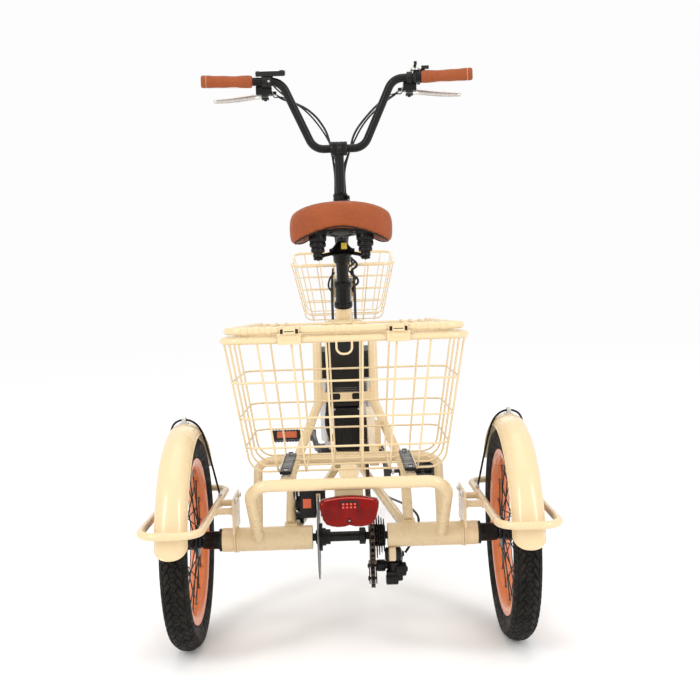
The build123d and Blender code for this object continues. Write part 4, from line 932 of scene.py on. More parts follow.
DISPLAY = Matrix.Translation((-178, BAR_BEND_Y + 2, BAR_Z + 25)) @ Matrix.Rotation(radians(14), 4, "X")
screen = Shape()
screen.box((-39, -22, -8.5), (39, 22, 5.0), 3.0, DISPLAY)
screen.box((-39.5, -22.5, -1.0), (39.5, 22.5, 0.4), 0.5, DISPLAY)
screen.part = 1
screen.box((-30, -15, 4.2), (22, 16, 5.4), 0.9, DISPLAY)
screen.part = 2
for k in range(3):
    screen.box((26, -14 + 10.5 * k, 4.0), (34, -6 + 10.5 * k, 6.2), 1.6, DISPLAY)
screen.part = 0
screen.box((-15, -12, -17), (6, 12, -6), 1.6, DISPLAY)
screen.turned(ring(5, 11.3, 16.2, 1, 15.5), on_bar(-1, 182), bar_direction(-1), 36)
screen.part = 3
screen.cap_screw(on_bar(-1, 182, -16, -2), -Y, 3.2, 4)
screen.make("display_unit", "stem", [PLASTIC, GLASS, SOFT_BLACK_AND_GAP_SHADE, STEEL], "black_plastic", "display")

bell = Shape()
bell_foot = on_bar(1, 210, 0, 16.5)
bell.turned([(0, 0), (0, 11.2), (0.8, 12.6), (1.6, 13), (4.6, 12.9), (6.6, 11.6), (8.6, 8.4), (9.7, 5),
             (10.2, 0)], bell_foot, Z, 48)
bell.part = 1
bell.turned(ring(5, 11.3, 14.4, 1, 13.6), on_bar(1, 210), bar_direction(1), 36)
bell.rod(on_bar(1, 210, 0, 13), on_bar(1, 210, 0, 17), 4)
bell.make("bell_dome", "stem", [STEEL, PLASTIC], "bright_steel", "bell")

thumb = Shape()
thumb_base = on_bar(1, 210, 0, 28)
thumb.turned([(0, 0), (0, 4.4), (2.6, 4.4), (3.8, 3.4), (4, 0)], thumb_base, Z, 24)
thumb.box(thumb_base + Vector((-3.6, -22, 1.2)), thumb_base + Vector((3.6, 0, 3.6)), 1.0)
thumb.box(thumb_base + Vector((-4, -24, 1)), thumb_base + Vector((4, -20, 9.6)), 1.4)
thumb.make("bell_thumb_lever", "bell_thumb", PLASTIC, "black_plastic", "bell_lever")

PIVOT_X, PIVOT_AHEAD, PIVOT_DROP = 196.0, 46.0, -30.0
for side, body in ((-1, "left_brake"), (1, "right_brake")):
    pivot = on_bar(side, PIVOT_X, PIVOT_AHEAD, PIVOT_DROP)
    lever = Shape()
    lever.turned(ring(5.3, 3, 7, 0.7, 6.6), pivot, Z, 28)
    reach = smooth_line([pivot, pivot + Vector((side * 34, 9, 0)), pivot + Vector((side * 88, 4, -7)),
                         pivot + Vector((side * 132, -3.4, -11)), pivot + Vector((side * 140, -4, -12))], 10)
    rows = []
    for i, point in enumerate(reach):
        share = i / (len(reach) - 1)
        tall, thick = 7.4 - 3.4 * share + 1.6 * sin(pi * share), 3.2 - 0.8 * share
        along = neighbours_direction(reach, i)
        level = Z.cross(along).normalized()
        up = along.cross(level)
        rows.append([point + level * thick * cos(a) + up * tall * sin(a) for a in ring_of(16)])
    lever.skin(rows, caps=True)
    lever.turned([(-4.6, 0), (-3.4, 3.6), (0, 5.2), (3.4, 3.6), (4.6, 0)],
                 pivot + Vector((side * 137, -3.8, -11.8)), X, 20)
    name = "left" if side < 0 else "right"
    lever.make(f"silver_lever_{name}", body, STEEL, "bright_steel", f"brake_lever_{name}")

controls = Shape()
for side in both(1):
    pivot = on_bar(side, PIVOT_X, PIVOT_AHEAD, PIVOT_DROP)
    controls.part = 0
    controls.cap_screw(pivot + Z * 9.6, Z, 5.2, 3.2)
    controls.bolt(pivot - Z * 9.6, -Z, 7, 4)
    controls.cap_screw(on_bar(side, 195, -14.5, -4), -Y, 3.2, 4)
    controls.part = 1
    exit_up = PIVOT_DROP + 6
    inward = (on_bar(side, 166, 33, exit_up) - on_bar(side, 188, 30, exit_up)).normalized()
    knurl = [(0, 3), (0, 5.6)]
    knurl += [(1 + k, 5.8 if k % 2 else 6.4) for k in range(9)]
    knurl += [(10, 5), (13, 3.4), (16, 3.0), (16, 2.6)]
    controls.turned(knurl, on_bar(side, 186, 30.2, exit_up), inward, 28)
controls.part = 0
for side, low, high in ((-1, 176, 219), (1, 178, 214)):
    middle = on_bar(side, (low + high) / 2)
    half = (high - low) / 2
    controls.box(middle + Vector((-half, 6, -33)), middle + Vector((half, 34, -9)), 4)
    lead = [on_bar(side, low - inward, ahead, up)
            for inward, ahead, up in ((0, 20, -30), (6, 26, -38), (22, 34, -34), (34, 40, -36))]
    controls.bar(rounded(lead, 8), 1.5, 8)
for x, radius in ((217, 15.6), (222, 15.8)):
    controls.turned(ring(2, 11.3, radius), on_bar(1, x), bar_direction(1), 32)
controls.make("control_fittings", "stem", [BLACK, STEEL], "black_plastic")

clamp_mid = steer_line(1065)
stem_trim = Shape()
for z, height in ((928, 5), (940, 4)):
    stem_trim.turned(ring(height, 19.1, 20.4), steer_line(z), STEER_DIR, 40)
for z in (929, 940):
    stem_trim.bolt(steer_line(z, -18, 8), -X, 8, 5)
stem_trim.turned([(0, 16.1), (0, 17.6), (8, 17.6), (10, 16.1)], steer_line(712), STEER_DIR, 40)
for angle in (0.7, 2.4):
    stem_trim.cap_screw(clamp_mid + Vector((14 * cos(angle), -17, 3 + 6 * sin(angle))), -Y, 3.2, 3.2)
stem_trim.make("stem_collar_bands", "fork", BLACK, "black_paint")

bar_clamp = Shape()
bar_clamp.turned([(-22.6, 11.4), (-22.6, 18.2), (-21.4, 19.2), (-2, 19.2), (-1, 18.4), (1, 18.4), (2, 19.2),
                  (21.4, 19.2), (22.6, 18.2), (22.6, 11.4)], clamp_mid, X, 44)
for x in both(13):
    for up in both(9):
        bar_clamp.cap_screw(clamp_mid + Vector((x, -16.5, up)), Vector((0, -1, 0.12 if up > 0 else -0.12)),
                            3.4, 3.6)
bar_clamp.make("bar_clamp_screws", "stem", BLACK, "black_paint")


# ---------------------------------------------------------------------------
# Cables
# ---------------------------------------------------------------------------
BUNDLE_TOP, BUNDLE_LOW, HEAD_TOP = 1010.0, 950.0, 752.0
STEM_TO_FORK = ("stem", "fork", steer_line(BUNDLE_TOP, 30), steer_line(BUNDLE_LOW, 30))
FORK_TO_FRAME = ("fork", "frame", steer_line(860, 30), steer_line(HEAD_TOP, 30))
BUNDLE = ((-14, 27, 3.1), (14, 33, 3.1), (8, 37, 2.5), (-6, 38, 2.3))
HANDS = (
    [(-172, 888, 1218), (-149, 904, 1205), (-112, 924, 1194),
     (-80, 935, 1177), (-51, 938, 1147), (-28, 936, 1100)],
    [(172, 888, 1219), (150, 904, 1204), (114, 924, 1189),
     (73, 935, 1150), (45, 938, 1112), (31, 934, 1070)],
    [(219, 872, 1236), (196, 892, 1230), (156, 914, 1209),
     (108, 934, 1176), (68, 944, 1134), (36, 940, 1076)],
    [(-178, 868, 1246), (-166, 894, 1232), (-132, 918, 1206),
     (-92, 940, 1180), (-56, 948, 1140), (-24, 946, 1084)],
)
cables = Shape()
for hand, (x, ahead, radius) in zip(HANDS, BUNDLE):
    run = hand + [steer_line(BUNDLE_TOP, ahead, x), steer_line(BUNDLE_LOW, ahead, x)]
    cables.part = 0
    cables.bar(smooth_line(run, 10), radius, 10)
    cables.part = 1
    start = Vector(run[0])
    onward = (Vector(run[1]) - start).normalized()
    cables.rod(start - onward * 2, start + onward * 11, radius + 0.9, 16)
cables.part = 2
wrap = smooth_line([steer_line(1046, 34, -4), steer_line(1000, 33, -4), steer_line(962, 33, -4)], 40)
cables.bar(wrap, lambda share: 9.6 + 0.8 * sin(2 * pi * 14 * share), 20, flat=0.72)
cables.make("handlebar_cables", STEM_TO_FORK, [CABLE, STEEL, SOFT_BLACK_AND_GAP_SHADE], "cable_sheath", "control_cables")

steering_run = Shape()
for index, (x, ahead, radius) in enumerate(BUNDLE):
    sway = (-1) ** index * 3
    run = [steer_line(BUNDLE_LOW, ahead, x), steer_line(900, ahead + 1, x + sway),
           steer_line(850, ahead + 2, x * 1.1 - sway), steer_line(800, ahead + 3, x * 1.3 + sway),
           steer_line(HEAD_TOP, ahead - 2, x * 1.6 + 6)]
    steering_run.bar(smooth_line(run, 10), radius, 10)
slack = ((775, 30, 10), (762, 36, 34), (748, 38, 41), (736, 36, 27), (725, 34, 25), (712, 38, 41),
         (698, 38, 42), (686, 34, 28), (672, 28, 30))
far_loop = ((730, 30, -24), (712, 34, -38), (690, 32, -42), (672, 26, -30))
steering_run.bar(smooth_line([steer_line(*place) for place in slack], 12), 3.4, 12)
steering_run.bar(smooth_line([steer_line(z + 9, ahead + 4, x - 8) for z, ahead, x in slack], 12), 2.6, 12)
steering_run.bar(smooth_line([steer_line(*place) for place in far_loop], 12), 2.8, 10)
steering_run.make("steering_cable_loops", FORK_TO_FRAME, CABLE, "cable_sheath", "steering_cables")

frame_runs = Shape()
for side in both(1):
    for shift in (0, 7):
        x = side * (31 + shift * 0.4)
        run = [(side * 28, 1012 + shift, 742), (x, 1019 + shift, 690), (x, 1000 + shift, 610),
               (x, 930 + shift, 500), (x, 845 + shift, 384), (x, 700, 322 + shift), (x, 640, 296 + shift)]
        frame_runs.bar(smooth_line(run, 10), 2.5, 10)
brake_run = [(-40, 440, 250), (-60, 330, 238), (-92, 170, 250), (-106, 100, 262), (-108, 62, 258)]
shift_run = [(40, 440, 238), (74, 300, 226), (112, 160, 231), (126, 90, 234), (136, 50, 222), (128, 42, 190),
             (107, 33, 160)]
for run in (brake_run, shift_run):
    frame_runs.bar(smooth_line(run, 10), 2.5, 10)
frame_runs.part = 1
loom = smooth_line([(-40, 392, 424), (-43, 410, 400), (-46, 428, 372), (-42, 448, 345), (-36, 462, 326)], 60)
frame_runs.bar(loom, lambda share: 5.4 + 0.7 * sin(2 * pi * 34 * share), 16)
frame_runs.make("frame_cable_runs", "frame", [CABLE, SOFT_BLACK_AND_GAP_SHADE], "cable_sheath", "frame_cables")

# ---------------------------------------------------------------------------
# Tail light
# ---------------------------------------------------------------------------
LIGHT_LOW, LIGHT_HIGH, LIGHT_HALF = 253.0, 309.0, 54.0
LIGHT_BACK, LIGHT_SEAM, LIGHT_FRONT = -122.0, -130.0, -146.5


def light_outline(inset):
    """The lens from behind: a bowed top edge, sloping ends and a notch in the middle below."""
    half, low, high = LIGHT_HALF - inset, LIGHT_LOW + inset, LIGHT_HIGH - inset
    top = [((half - 4) * (1 - 2 * k / 24), high - 6 * (1 - 2 * k / 24) ** 2) for k in range(25)]
    corner = [(-half, high - 12), (-half + 1, high - 22), (-half + 6, low + 14), (-half + 12, low + 5),
              (-half + 22, low + 1.5), (-half + 32, low), (-9, low + 0.6)]
    return top + corner + [(0, low + 3.4)] + [(-a, b) for a, b in reversed(corner)]


light = Shape()
light.part = 1
light.prism(light_outline(1.5), (0, LIGHT_BACK, 0), X, Z, 0, -(LIGHT_SEAM - LIGHT_BACK), 0.8)
light.part = 0
rows = []
for depth, inset in ((LIGHT_SEAM, 0.0), (LIGHT_SEAM - 7, 0.2), (LIGHT_FRONT + 4, 1.0),
                     (LIGHT_FRONT + 1.2, 2.4), (LIGHT_FRONT, 5.0)):
    rows.append([Vector((a, depth, b)) for a, b in light_outline(inset)])
light.skin(rows, caps=True)
light.part = 2
light.bar([Vector((a, LIGHT_FRONT + 1.5, b)) for a, b in light_outline(2.0)[1:24]], 0.8, 6)
light.part = 1
hood = [(-18, 287), (-18, 300), (-15, 302.4), (15, 302.4), (18, 300), (18, 287), (16.4, 287), (16, 299.6),
        (-16, 299.6), (-16.4, 287)]
light.prism(hood, (0, LIGHT_FRONT + 1, 0), X, Z, 0, 2.4, 0.3)
light.part = 2
for k in range(8):
    lamp = (-10.5 + 7 * (k % 4), LIGHT_FRONT + 0.2, 290 + 6 * (k // 4))
    light.turned([(0, 0), (0, 2.3), (1.0, 1.7), (1.3, 0)], lamp, -Y, 14)
light.part = 4
light.turned([(-0.4, 2.4), (-0.4, 4.2), (1.2, 4.0), (1.2, 2.6)], (0, LIGHT_FRONT + 0.4, 266), -Y, 26)
light.part = 3
light.cap_screw((0, LIGHT_FRONT + 0.6, 266), -Y, 1.8, 1.2)
light.part = 4
for side in both(1):
    for k in range(7):
        x = side * (14 + 5 * k)
        light.box((x - 0.35, LIGHT_FRONT - 0.3, 268), (x + 0.35, LIGHT_FRONT + 0.6, 286), 0.1)
light.make("tail_light_unit", "frame", [RED_LENS, PLASTIC, RED_EDGE, STEEL, RED_DARK], "red_lens",
           "tail_light")

# ---------------------------------------------------------------------------
# Axle, brake and drive
# ---------------------------------------------------------------------------
CHAIN_X = 42.0

axle_parts = Shape()
shaft = [(-352, 0), (-352, 5.2), (-351, 6), (-336, 6), (-336, 7.5), (-66, 7.5), (-66, 12), (-64, 14),
         (-62, 26), (-58, 26.5), (-53, 26.5), (-53, 17), (-47, 17), (-46, 14.5), (-38, 14.5), (-37, 9.5),
         (17, 9.5), (18, 16), (29, 16), (30, 12), (31, 7.5), (336, 7.5), (336, 6), (351, 6), (352, 5.2),
         (352, 0)]
axle_parts.turned(shaft, AXLE, X, 48)
for side in both(1):
    nut_x = AXLE + X * side * 336.4
    axle_parts.turned([(0, 6), (0, 9.4), (9, 9.4), (10, 8), (10, 6)], nut_x, X * side, 6)
    axle_parts.turned([(-0.2, 6), (-0.2, 11.5), (1.2, 11.5), (1.2, 6)], nut_x, X * side, 30)
for angle in ring_of(6):
    axle_parts.cap_screw(AXLE + Vector((-58.6, 20.5 * cos(angle), 20.5 * sin(angle))), X, 2.8, 2.6)
axle_parts.make("axle_shaft", "axle", BLACK, "black_paint", "drive_axle")

sleeves = Shape()
for side in both(1):
    sleeves.turned([(0, 7.6), (0, 20.4), (1.4, 20.8), (1.4, 21.6), (8, 21.6), (8, 7.6)],
                   AXLE + X * side * 72.4, X * side, 40)
    sleeves.turned([(0.2, 9.6), (0.2, 21), (3, 22), (6, 22), (7, 17.5), (30, 17), (38, 15.5), (39.6, 13),
                    (39.6, 9.6)], AXLE + X * side * 245, X * side, 40)
sleeves.make("bearing_caps", "frame", BLACK, "black_paint", "axle_bearings")

CHAIN_PITCH = 12.7
FREEWHEEL_TEETH = (28, 25, 22, 20, 17, 15, 14)
COG_PITCH = 4.6


def cog_outline(teeth, root, tip):
    """A sprocket's edge, five points to a tooth."""
    outline = []
    for k in range(teeth):
        for share, r in ((0.0, root), (0.30, root + 0.4), (0.44, tip), (0.56, tip), (0.70, root + 0.4)):
            a = 2 * pi * (k + share) / teeth
            outline.append((r * cos(a), r * sin(a)))
    return outline


cogs = Shape()
for index, teeth in enumerate(FREEWHEEL_TEETH):
    pitch_r = CHAIN_PITCH / (2 * sin(pi / teeth))
    x = CHAIN_X + COG_PITCH * (index - 1)
    cogs.prism(cog_outline(teeth, pitch_r - 3.6, pitch_r + 3.2), AXLE + X * x, Y, Z, -0.9, 0.9)
cogs.turned([(36, 7.7), (36, 19), (37, 21), (65, 21), (67.6, 19), (67.6, 13), (66, 12), (66, 7.7)],
            AXLE, X, 40)
cogs.make("freewheel_cogs", "sprockets", BLACK, "black_paint", "freewheel")

RING_R, COG_R, JOCKEY_R = 85.0, 51.0, 15.0
UPPER_JOCKEY, LOWER_JOCKEY = Vector((0, 26, 138)), Vector((0, -6, 122))
PULLEYS = ((CRANK.y, CRANK.z, RING_R, 1), (0.0, WHEEL_R, COG_R, 1),
           (UPPER_JOCKEY.y, UPPER_JOCKEY.z, JOCKEY_R, -1), (LOWER_JOCKEY.y, LOWER_JOCKEY.z, JOCKEY_R, 1))


def belt(pulleys, spacing):
    """Evenly spaced points along a belt round pulleys; sign -1 runs round the back."""
    count = len(pulleys)
    ends = []
    for i, (y0, z0, r0, s0) in enumerate(pulleys):
        y1, z1, r1, s1 = pulleys[(i + 1) % count]
        reach = hypot(y1 - y0, z1 - z0)
        heading = atan2(z1 - z0, y1 - y0)
        turn = heading + asin((s0 * r0 - s1 * r1) / reach)
        normal = turn + pi / 2
        ends.append(((y0 + s0 * r0 * cos(normal), z0 + s0 * r0 * sin(normal)),
                     (y1 + s1 * r1 * cos(normal), z1 + s1 * r1 * sin(normal))))
    path = []
    for i, (start, end) in enumerate(ends):
        path += [start, end]
        y1, z1, r1, s1 = pulleys[(i + 1) % count]
        leave = ends[(i + 1) % count][0]
        a0 = atan2(end[1] - z1, end[0] - y1)
        a1 = atan2(leave[1] - z1, leave[0] - y1)
        sweep = (a1 - a0) % (2 * pi)
        if s1 > 0:
            sweep -= 2 * pi
        if abs(sweep) > 2 * pi - 0.02:
            sweep = 0
        steps = max(int(abs(sweep) * 8), 1)
        path += [(y1 + r1 * cos(a0 + sweep * k / steps), z1 + r1 * sin(a0 + sweep * k / steps))
                 for k in range(1, steps)]
    line = [Vector((CHAIN_X, y, z)) for y, z in path]
    line.append(line[0])
    total = sum((b - a).length for a, b in zip(line, line[1:]))
    number = round(total / spacing / 2) * 2
    marks, wanted, run = [], 0.0, 0.0
    for a, b in zip(line, line[1:]):
        length = (b - a).length
        while wanted <= run + length and len(marks) < number:
            marks.append(a + (b - a) * ((wanted - run) / max(length, 1e-9)))
            wanted += total / number
        run += length
    return marks


def link_outline(reach, radius, waist, steps):
    """A plate round two pins, reach apart, drawn in at its waist."""
    arc = [pi / 2 + pi * k / steps for k in range(steps + 1)]
    outline = [(radius * cos(angle), radius * sin(angle)) for angle in arc]
    outline.append((reach / 2, -waist))
    outline += [(reach - p, -q) for p, q in outline[:steps + 1]]
    return outline + [(reach / 2, waist)]


chain = Shape()
pins = belt(PULLEYS, CHAIN_PITCH)
for index, (a, b) in enumerate(zip(pins, pins[1:] + pins[:1])):
    along = (b - a).normalized()
    wide = 3.5 if index % 2 else 2.5
    reach = (b - a).length
    for x in both(wide):
        chain.prism(link_outline(reach, 4.1, 3.0, 8), a + X * x, along, X.cross(along), -0.45, 0.45)
    chain.rod(a - X * 3.9, a + X * 3.9, 1.8, 10)
    chain.rod(a - X * 2.1, a + X * 2.1, 3.6, 12)
chain.make("chain_links", "frame", COPPER, "dark_steel", "chain")

mech = Shape()
mech.turned([(-12, 0), (-12, 12), (-10, 14), (10, 14), (12, 12), (14, 9), (14, 0)], (84, 18, 137), Z, 36)
mech.turned([(-16, 0), (-16, 10), (-14, 13.5), (14, 13.5), (16, 10), (16, 0)], (82, 1, 166), X, 36)
mech.bar(rounded([(80, 2, 168), (96, 20, 150), (84, 26, 140), (56, 26, 138)], 16), 9.5, 18, flat=0.8)
mech.bar(rounded([(74, -4, 172), (90, 14, 156), (76, 22, 142), (56, 24, 142)], 14), 5.5, 14)
mech.turned([(-9, 0), (-9, 10), (-7.5, 11.5), (6, 11.5), (8, 10), (8, 0)], (59, 26, 138), X, 36)
mech.turned([(-11, 0), (-11, 11), (-9, 13.6), (9, 13.6), (11, 11.5), (11, 0)], (96, 14, 133), X, 36)
mech.turned([(-12, 0), (-12, 8), (-10, 10.6), (10, 10.6), (12, 8.5), (12, 0)], (79, 8, 115), X, 36)
mech.box((68, 2, 112), (100, 20, 132), 5)
mech.bolt((107, 14, 133), X, 9, 3)
mech.cap_screw((91, 8, 115), X, 4, 3)
mech.bolt((99, 1, 166), X, 10, 4)
mech.cap_screw((96, 12, 152), X, 3, 3)
mech.part = 1
mech.cap_screw((92, 20, 158), Vector((0.7, -0.3, 0.6)), 3.4, 5)
mech.part = 2
mech.box((73, -16, 156), (87, 17, 183), 4)
mech.make("derailleur_mech", "frame", [BLACK, STEEL, CREAM], "dark_steel", "derailleur_body")

cage = Shape()
span = LOWER_JOCKEY - UPPER_JOCKEY
for x in both(6.5):
    cage.prism(link_outline(span.length, 11, 6.5, 12), UPPER_JOCKEY + X * (CHAIN_X + x), span, X.cross(span),
               -1, 1, 0.3)
for spot in (UPPER_JOCKEY, LOWER_JOCKEY):
    cage.part = 1
    cage.prism(cog_outline(11, 12.0, 16.2), spot + X * CHAIN_X, Y, Z, -1.3, 1.3)
    cage.turned(ring(4, 2.5, 9.5, 2.7, 8), spot + X * CHAIN_X, X, 30)
    cage.part = 0
    cage.bolt(spot + X * (CHAIN_X - 7.4), -X, 7, 2.4)
    cage.rod(spot + X * (CHAIN_X - 6), spot + X * (CHAIN_X + 6), 2.5, 16)
cage.make("derailleur_cage_parts", "cage", [BLACK, SOFT_BLACK_AND_GAP_SHADE], "dark_steel", "derailleur_cage")

caliper = Shape()
caliper.box((-96.5, 23, 236), (-64.5, 61, 291), 4)
caliper.box((-56, 24, 238), (-46.5, 60, 289), 3)
caliper.box((-66, 26, 283), (-54, 58, 291.5), 2)
caliper.turned([(0, 0), (0, 15), (4, 15.5), (6, 14), (8, 13.2), (8, 9), (10, 8.4), (10, 0)],
               (-96, 42, 262), -X, 44)
caliper.bar(rounded([(-101, 42, 262), (-104, 30, 276), (-104, 24, 292)], 8), 3.6, 12, flat=1.5)
caliper.box((-111.5, 34, 222.5), (-90, 58, 243.5), 3)
caliper.part = 2
for y, z in ((29, 286), (55, 241)):
    caliper.cap_screw((-96.2, y, z), -X, 4, 4)
caliper.cap_screw((-101, 30, 229), -Y, 4.6, 5)
caliper.turned([(0, 2.2), (0, 4.4), (9, 4.4), (10, 3), (15, 3), (15, 2.2)], (-106, 60, 258),
               Vector((-0.1, 1, 0.05)), 20)
caliper.rod((-104, 22, 291), (-103, 8, 276), 0.9, 8)
caliper.rod((-103.4, 13, 281), (-103, 8, 276), 1.6, 10)
caliper.part = 1
caliper.box((-90, 22.6, 256), (-74, 23.6, 274), 0.3)
caliper.make("caliper_parts", "frame", [BLACK, STICKER, STEEL], "black_plastic", "brake_caliper")

CRANK_LIFT, CRANK_LENGTH = radians(7.3), 166.0
ARM = Vector((0, CRANK_LENGTH * cos(CRANK_LIFT), CRANK_LENGTH * sin(CRANK_LIFT)))
crankset = Shape()
crankset.part = 1
crankset.prism(cog_outline(42, RING_R - 3.4, RING_R + 3.4), CRANK + X * CHAIN_X, Y, Z, -1.3, 1.3)
crankset.turned([(-2.6, 18), (-2.6, 66), (-1.4, 72), (-1.4, 18)], CRANK + X * (CHAIN_X + 4), X, 60)
crankset.part = 0
crankset.turned([(-58, 0), (-58, 8), (-56, 8.5), (84, 8.5), (86, 8), (86, 0)], CRANK, X, 32)
crankset.turned([(41, 8.5), (41, 20), (50, 19), (70, 14), (72, 8.5)], CRANK, X, 40)
for side, inner, outer, boss_x, bolt_x in ((-1, 50, 88, 58, 67), (1, 76, 88, 78, 85.5)):
    tip = CRANK - ARM * side
    start = CRANK + X * side * inner
    path = rounded([start, start + X * side * (outer - inner) * 0.7 - ARM * side * 0.32,
                    tip + X * side * outer], 60, 14)
    rows = []
    for i, point in enumerate(path):
        share = i / (len(path) - 1)
        along = neighbours_direction(path, i)
        flat = X - along * along.x
        flat.normalize()
        tall = along.cross(flat)
        half_t = 14.5 - 3.5 * sin(pi * min(share * 1.15, 1))
        rows.append([point + tall * half_t * cos(a) * (1 if abs(cos(a)) < 0.9 else 0.98)
                     + flat * 6.6 * sin(a) for a in ring_of(20)])
    crankset.skin(rows, caps=True)
    crankset.turned([(-8.5, 0), (-8.5, 13), (-7, 15), (6, 15), (7.5, 13), (7.5, 0)],
                    tip + X * side * outer, X, 36)
    crankset.turned([(-12, 8.5), (-12, 15), (-10, 16.4), (6, 16.4), (8, 14), (8, 8.5)],
                    CRANK + X * side * boss_x, X * side, 40)
    crankset.bolt(CRANK + X * side * bolt_x, X * side, 14, 5)
    crankset.rod(tip + X * side * 90, tip + X * side * 187, 4.5, 20)
    crankset.part = 2
    crankset.turned([(0, 4.6), (0, 9), (5, 9), (5, 4.6)], tip + X * side * 98, X * side, 6)
    crankset.part = 0
crankset.make("crank_arms_and_ring", "crank", [CRANK_GREY, BLACK, STEEL], "black_paint", "crankset")


PEDAL_X = 153.0


def pedal(side, tilt_degrees, body, node):
    """A platform pedal with a toothed frame and a reflector at each end."""
    middle = CRANK - ARM * side + X * side * PEDAL_X
    place = Matrix.Translation(middle) @ Matrix.Rotation(radians(-tilt_degrees), 4, "X")
    part = Shape()
    for y in both(40):
        part.part = 0
        part.box((-39.5, y - 5.5, -11.5), (39.5, y + 5.5, 11.5), 2.4, place)
        for k in range(10):
            for z in both(11.5):
                part.box((-36 + 7.5 * k, y - 4.6, z - 1.6), (-32 + 7.5 * k, y + 4.6, z + 0.9), 0.6, place)
        part.part = 1
        end = y + (6.4 if y > 0 else -6.4)
        part.box((-25, min(y, end), -8), (25, max(y, end), 8), 1.6, place)
    part.part = 0
    for x in (-36, -13, 13, 36):
        part.box((x - 3.6, -44, -9.5), (x + 3.6, 44, 9.5), 2.0, place)
        for k in range(7):
            part.box((x - 3.4, -34 + 10.5 * k, -11), (x + 3.4, -29 + 10.5 * k, 11), 0.8, place)
    part.turned([(-39.5, 4.6), (-39.5, 11.5), (-37, 13), (-20, 12.4), (20, 12.4), (37, 13), (39.5, 11.5),
                 (39.5, 4.6)], middle, X, 36)
    part.part = 2
    part.turned([(0, 0), (0, 8.4), (1.6, 8.4), (2.2, 7), (2.2, 0)], middle + X * side * 39.6,
                X * side, 30)
    part.make(node + "_parts", body, [PLASTIC, AMBER, SOFT_BLACK_AND_GAP_SHADE], "black_plastic", node)


pedal(-1, 12, "left_pedal", "pedal_left")
pedal(1, -20, "right_pedal", "pedal_right")

# ---------------------------------------------------------------------------
# Battery and controller
# ---------------------------------------------------------------------------
SEAT_BACK = (seat_line(0, 1) - seat_line(0)).normalized()
SEAT_PLACE = Matrix.Translation(CRANK) @ Matrix((X, -SEAT_BACK, SEAT_DIR)).transposed().to_4x4()


def pack_outline(half, near, far, corner, steps=6):
    """A rounded rectangle across the seat tube, as (side, towards the front) points."""
    outline = []
    for cx, cy, start in ((half - corner, -near - corner, 0), (-half + corner, -near - corner, 90),
                          (-half + corner, -far + corner, 180), (half - corner, -far + corner, 270)):
        for k in range(steps + 1):
            angle = radians(start + 90 * k / steps)
            outline.append((cx + corner * cos(angle), cy + corner * sin(angle)))
    return outline


def boxed(shape, half, near, far, corner, low, high, ease):
    """A rounded box along the seat tube with eased ends."""
    rows = []
    for height, inset in ((low, ease), (low + ease * 0.3, ease * 0.3), (low + ease, 0), (high - ease, 0),
                          (high - ease * 0.3, ease * 0.3), (high, ease)):
        outline = pack_outline(half - inset, near + inset, far - inset, max(corner - inset, 0.5))
        rows.append([SEAT_PLACE @ Vector((x, y, height)) for x, y in outline])
    shape.skin(rows, caps=True)


pack = Shape()
boxed(pack, 41.8, 22.2, 83.8, 11, 170, 316, 3)
boxed(pack, 41.2, 22.8, 83.0, 10, 158.4, 169.2, 2.4)
boxed(pack, 34, 30, 76, 9, 315, 319.5, 2)
pack.part = 1
for x in both(1):
    pack.box((x * 41.6 - 0.5, -80, 176), (x * 41.6 + 0.5, -78.6, 310), 0.3, SEAT_PLACE)
for k in range(5):
    pack.box((-26, -84.3, 184 + 5 * k), (26, -83.2, 186.2 + 5 * k), 0.4, SEAT_PLACE)
pack.part = 2
pack.turned([(0, 0), (0, 6.4), (1.2, 6.4), (1.8, 5.4), (1.8, 0)],
            SEAT_PLACE @ Vector((-41.8, -55, 186)), -X, 28)
pack.part = 0
handle = ((-20, -58, 317), (-20, -58, 326), (20, -58, 326), (20, -58, 317))
pack.bar(rounded([SEAT_PLACE @ Vector(p) for p in handle], 6), 3.2, 12)
pack.make("battery_parts", "frame", [PLASTIC, SEAM_GREY, STEEL], "black_plastic", "battery_pack")

control = Shape()
boxed(control, 32.2, 22.4, 75.6, 5, 46, 146, 2)
boxed(control, 33, 22.2, 76.2, 4, 40.4, 46.4, 1)
boxed(control, 33, 22.2, 76.2, 4, 145.6, 151.6, 1)
for k in range(7):
    control.box((-27 + 9 * k - 1.5, -78, 50), (-27 + 9 * k + 1.5, -75, 142), 0.5, SEAT_PLACE)
control.part = 1
for x in both(28):
    for height in (43.2, 148.8):
        control.cap_screw(SEAT_PLACE @ Vector((x, -76, height)), SEAT_BACK, 2.4, 1.8)
control.make("controller_parts", "frame", [PLASTIC, STEEL], "black_plastic", "controller_box")

# ---------------------------------------------------------------------------
# Fittings on the frame and baskets
# ---------------------------------------------------------------------------
LID_Z, HINGE_Z, BASKET_BACK, BASKET_FRONT = 609.0, 600.0, -115.0, 205.0


def wire_wrap(shape, middle, axis, radius, turns, wire):
    """A wire coiled round a bar."""
    axis = Vector(axis).normalized()
    u = axis.orthogonal().normalized()
    v = axis.cross(u)
    points = [Vector(middle) + axis * wire * 2 * turns * (k / (12 * turns) - 0.5)
              + (u * cos(2 * pi * k / 12) + v * sin(2 * pi * k / 12)) * (radius + wire * 0.7)
              for k in range(12 * turns + 1)]
    shape.bar(points, wire, 8)


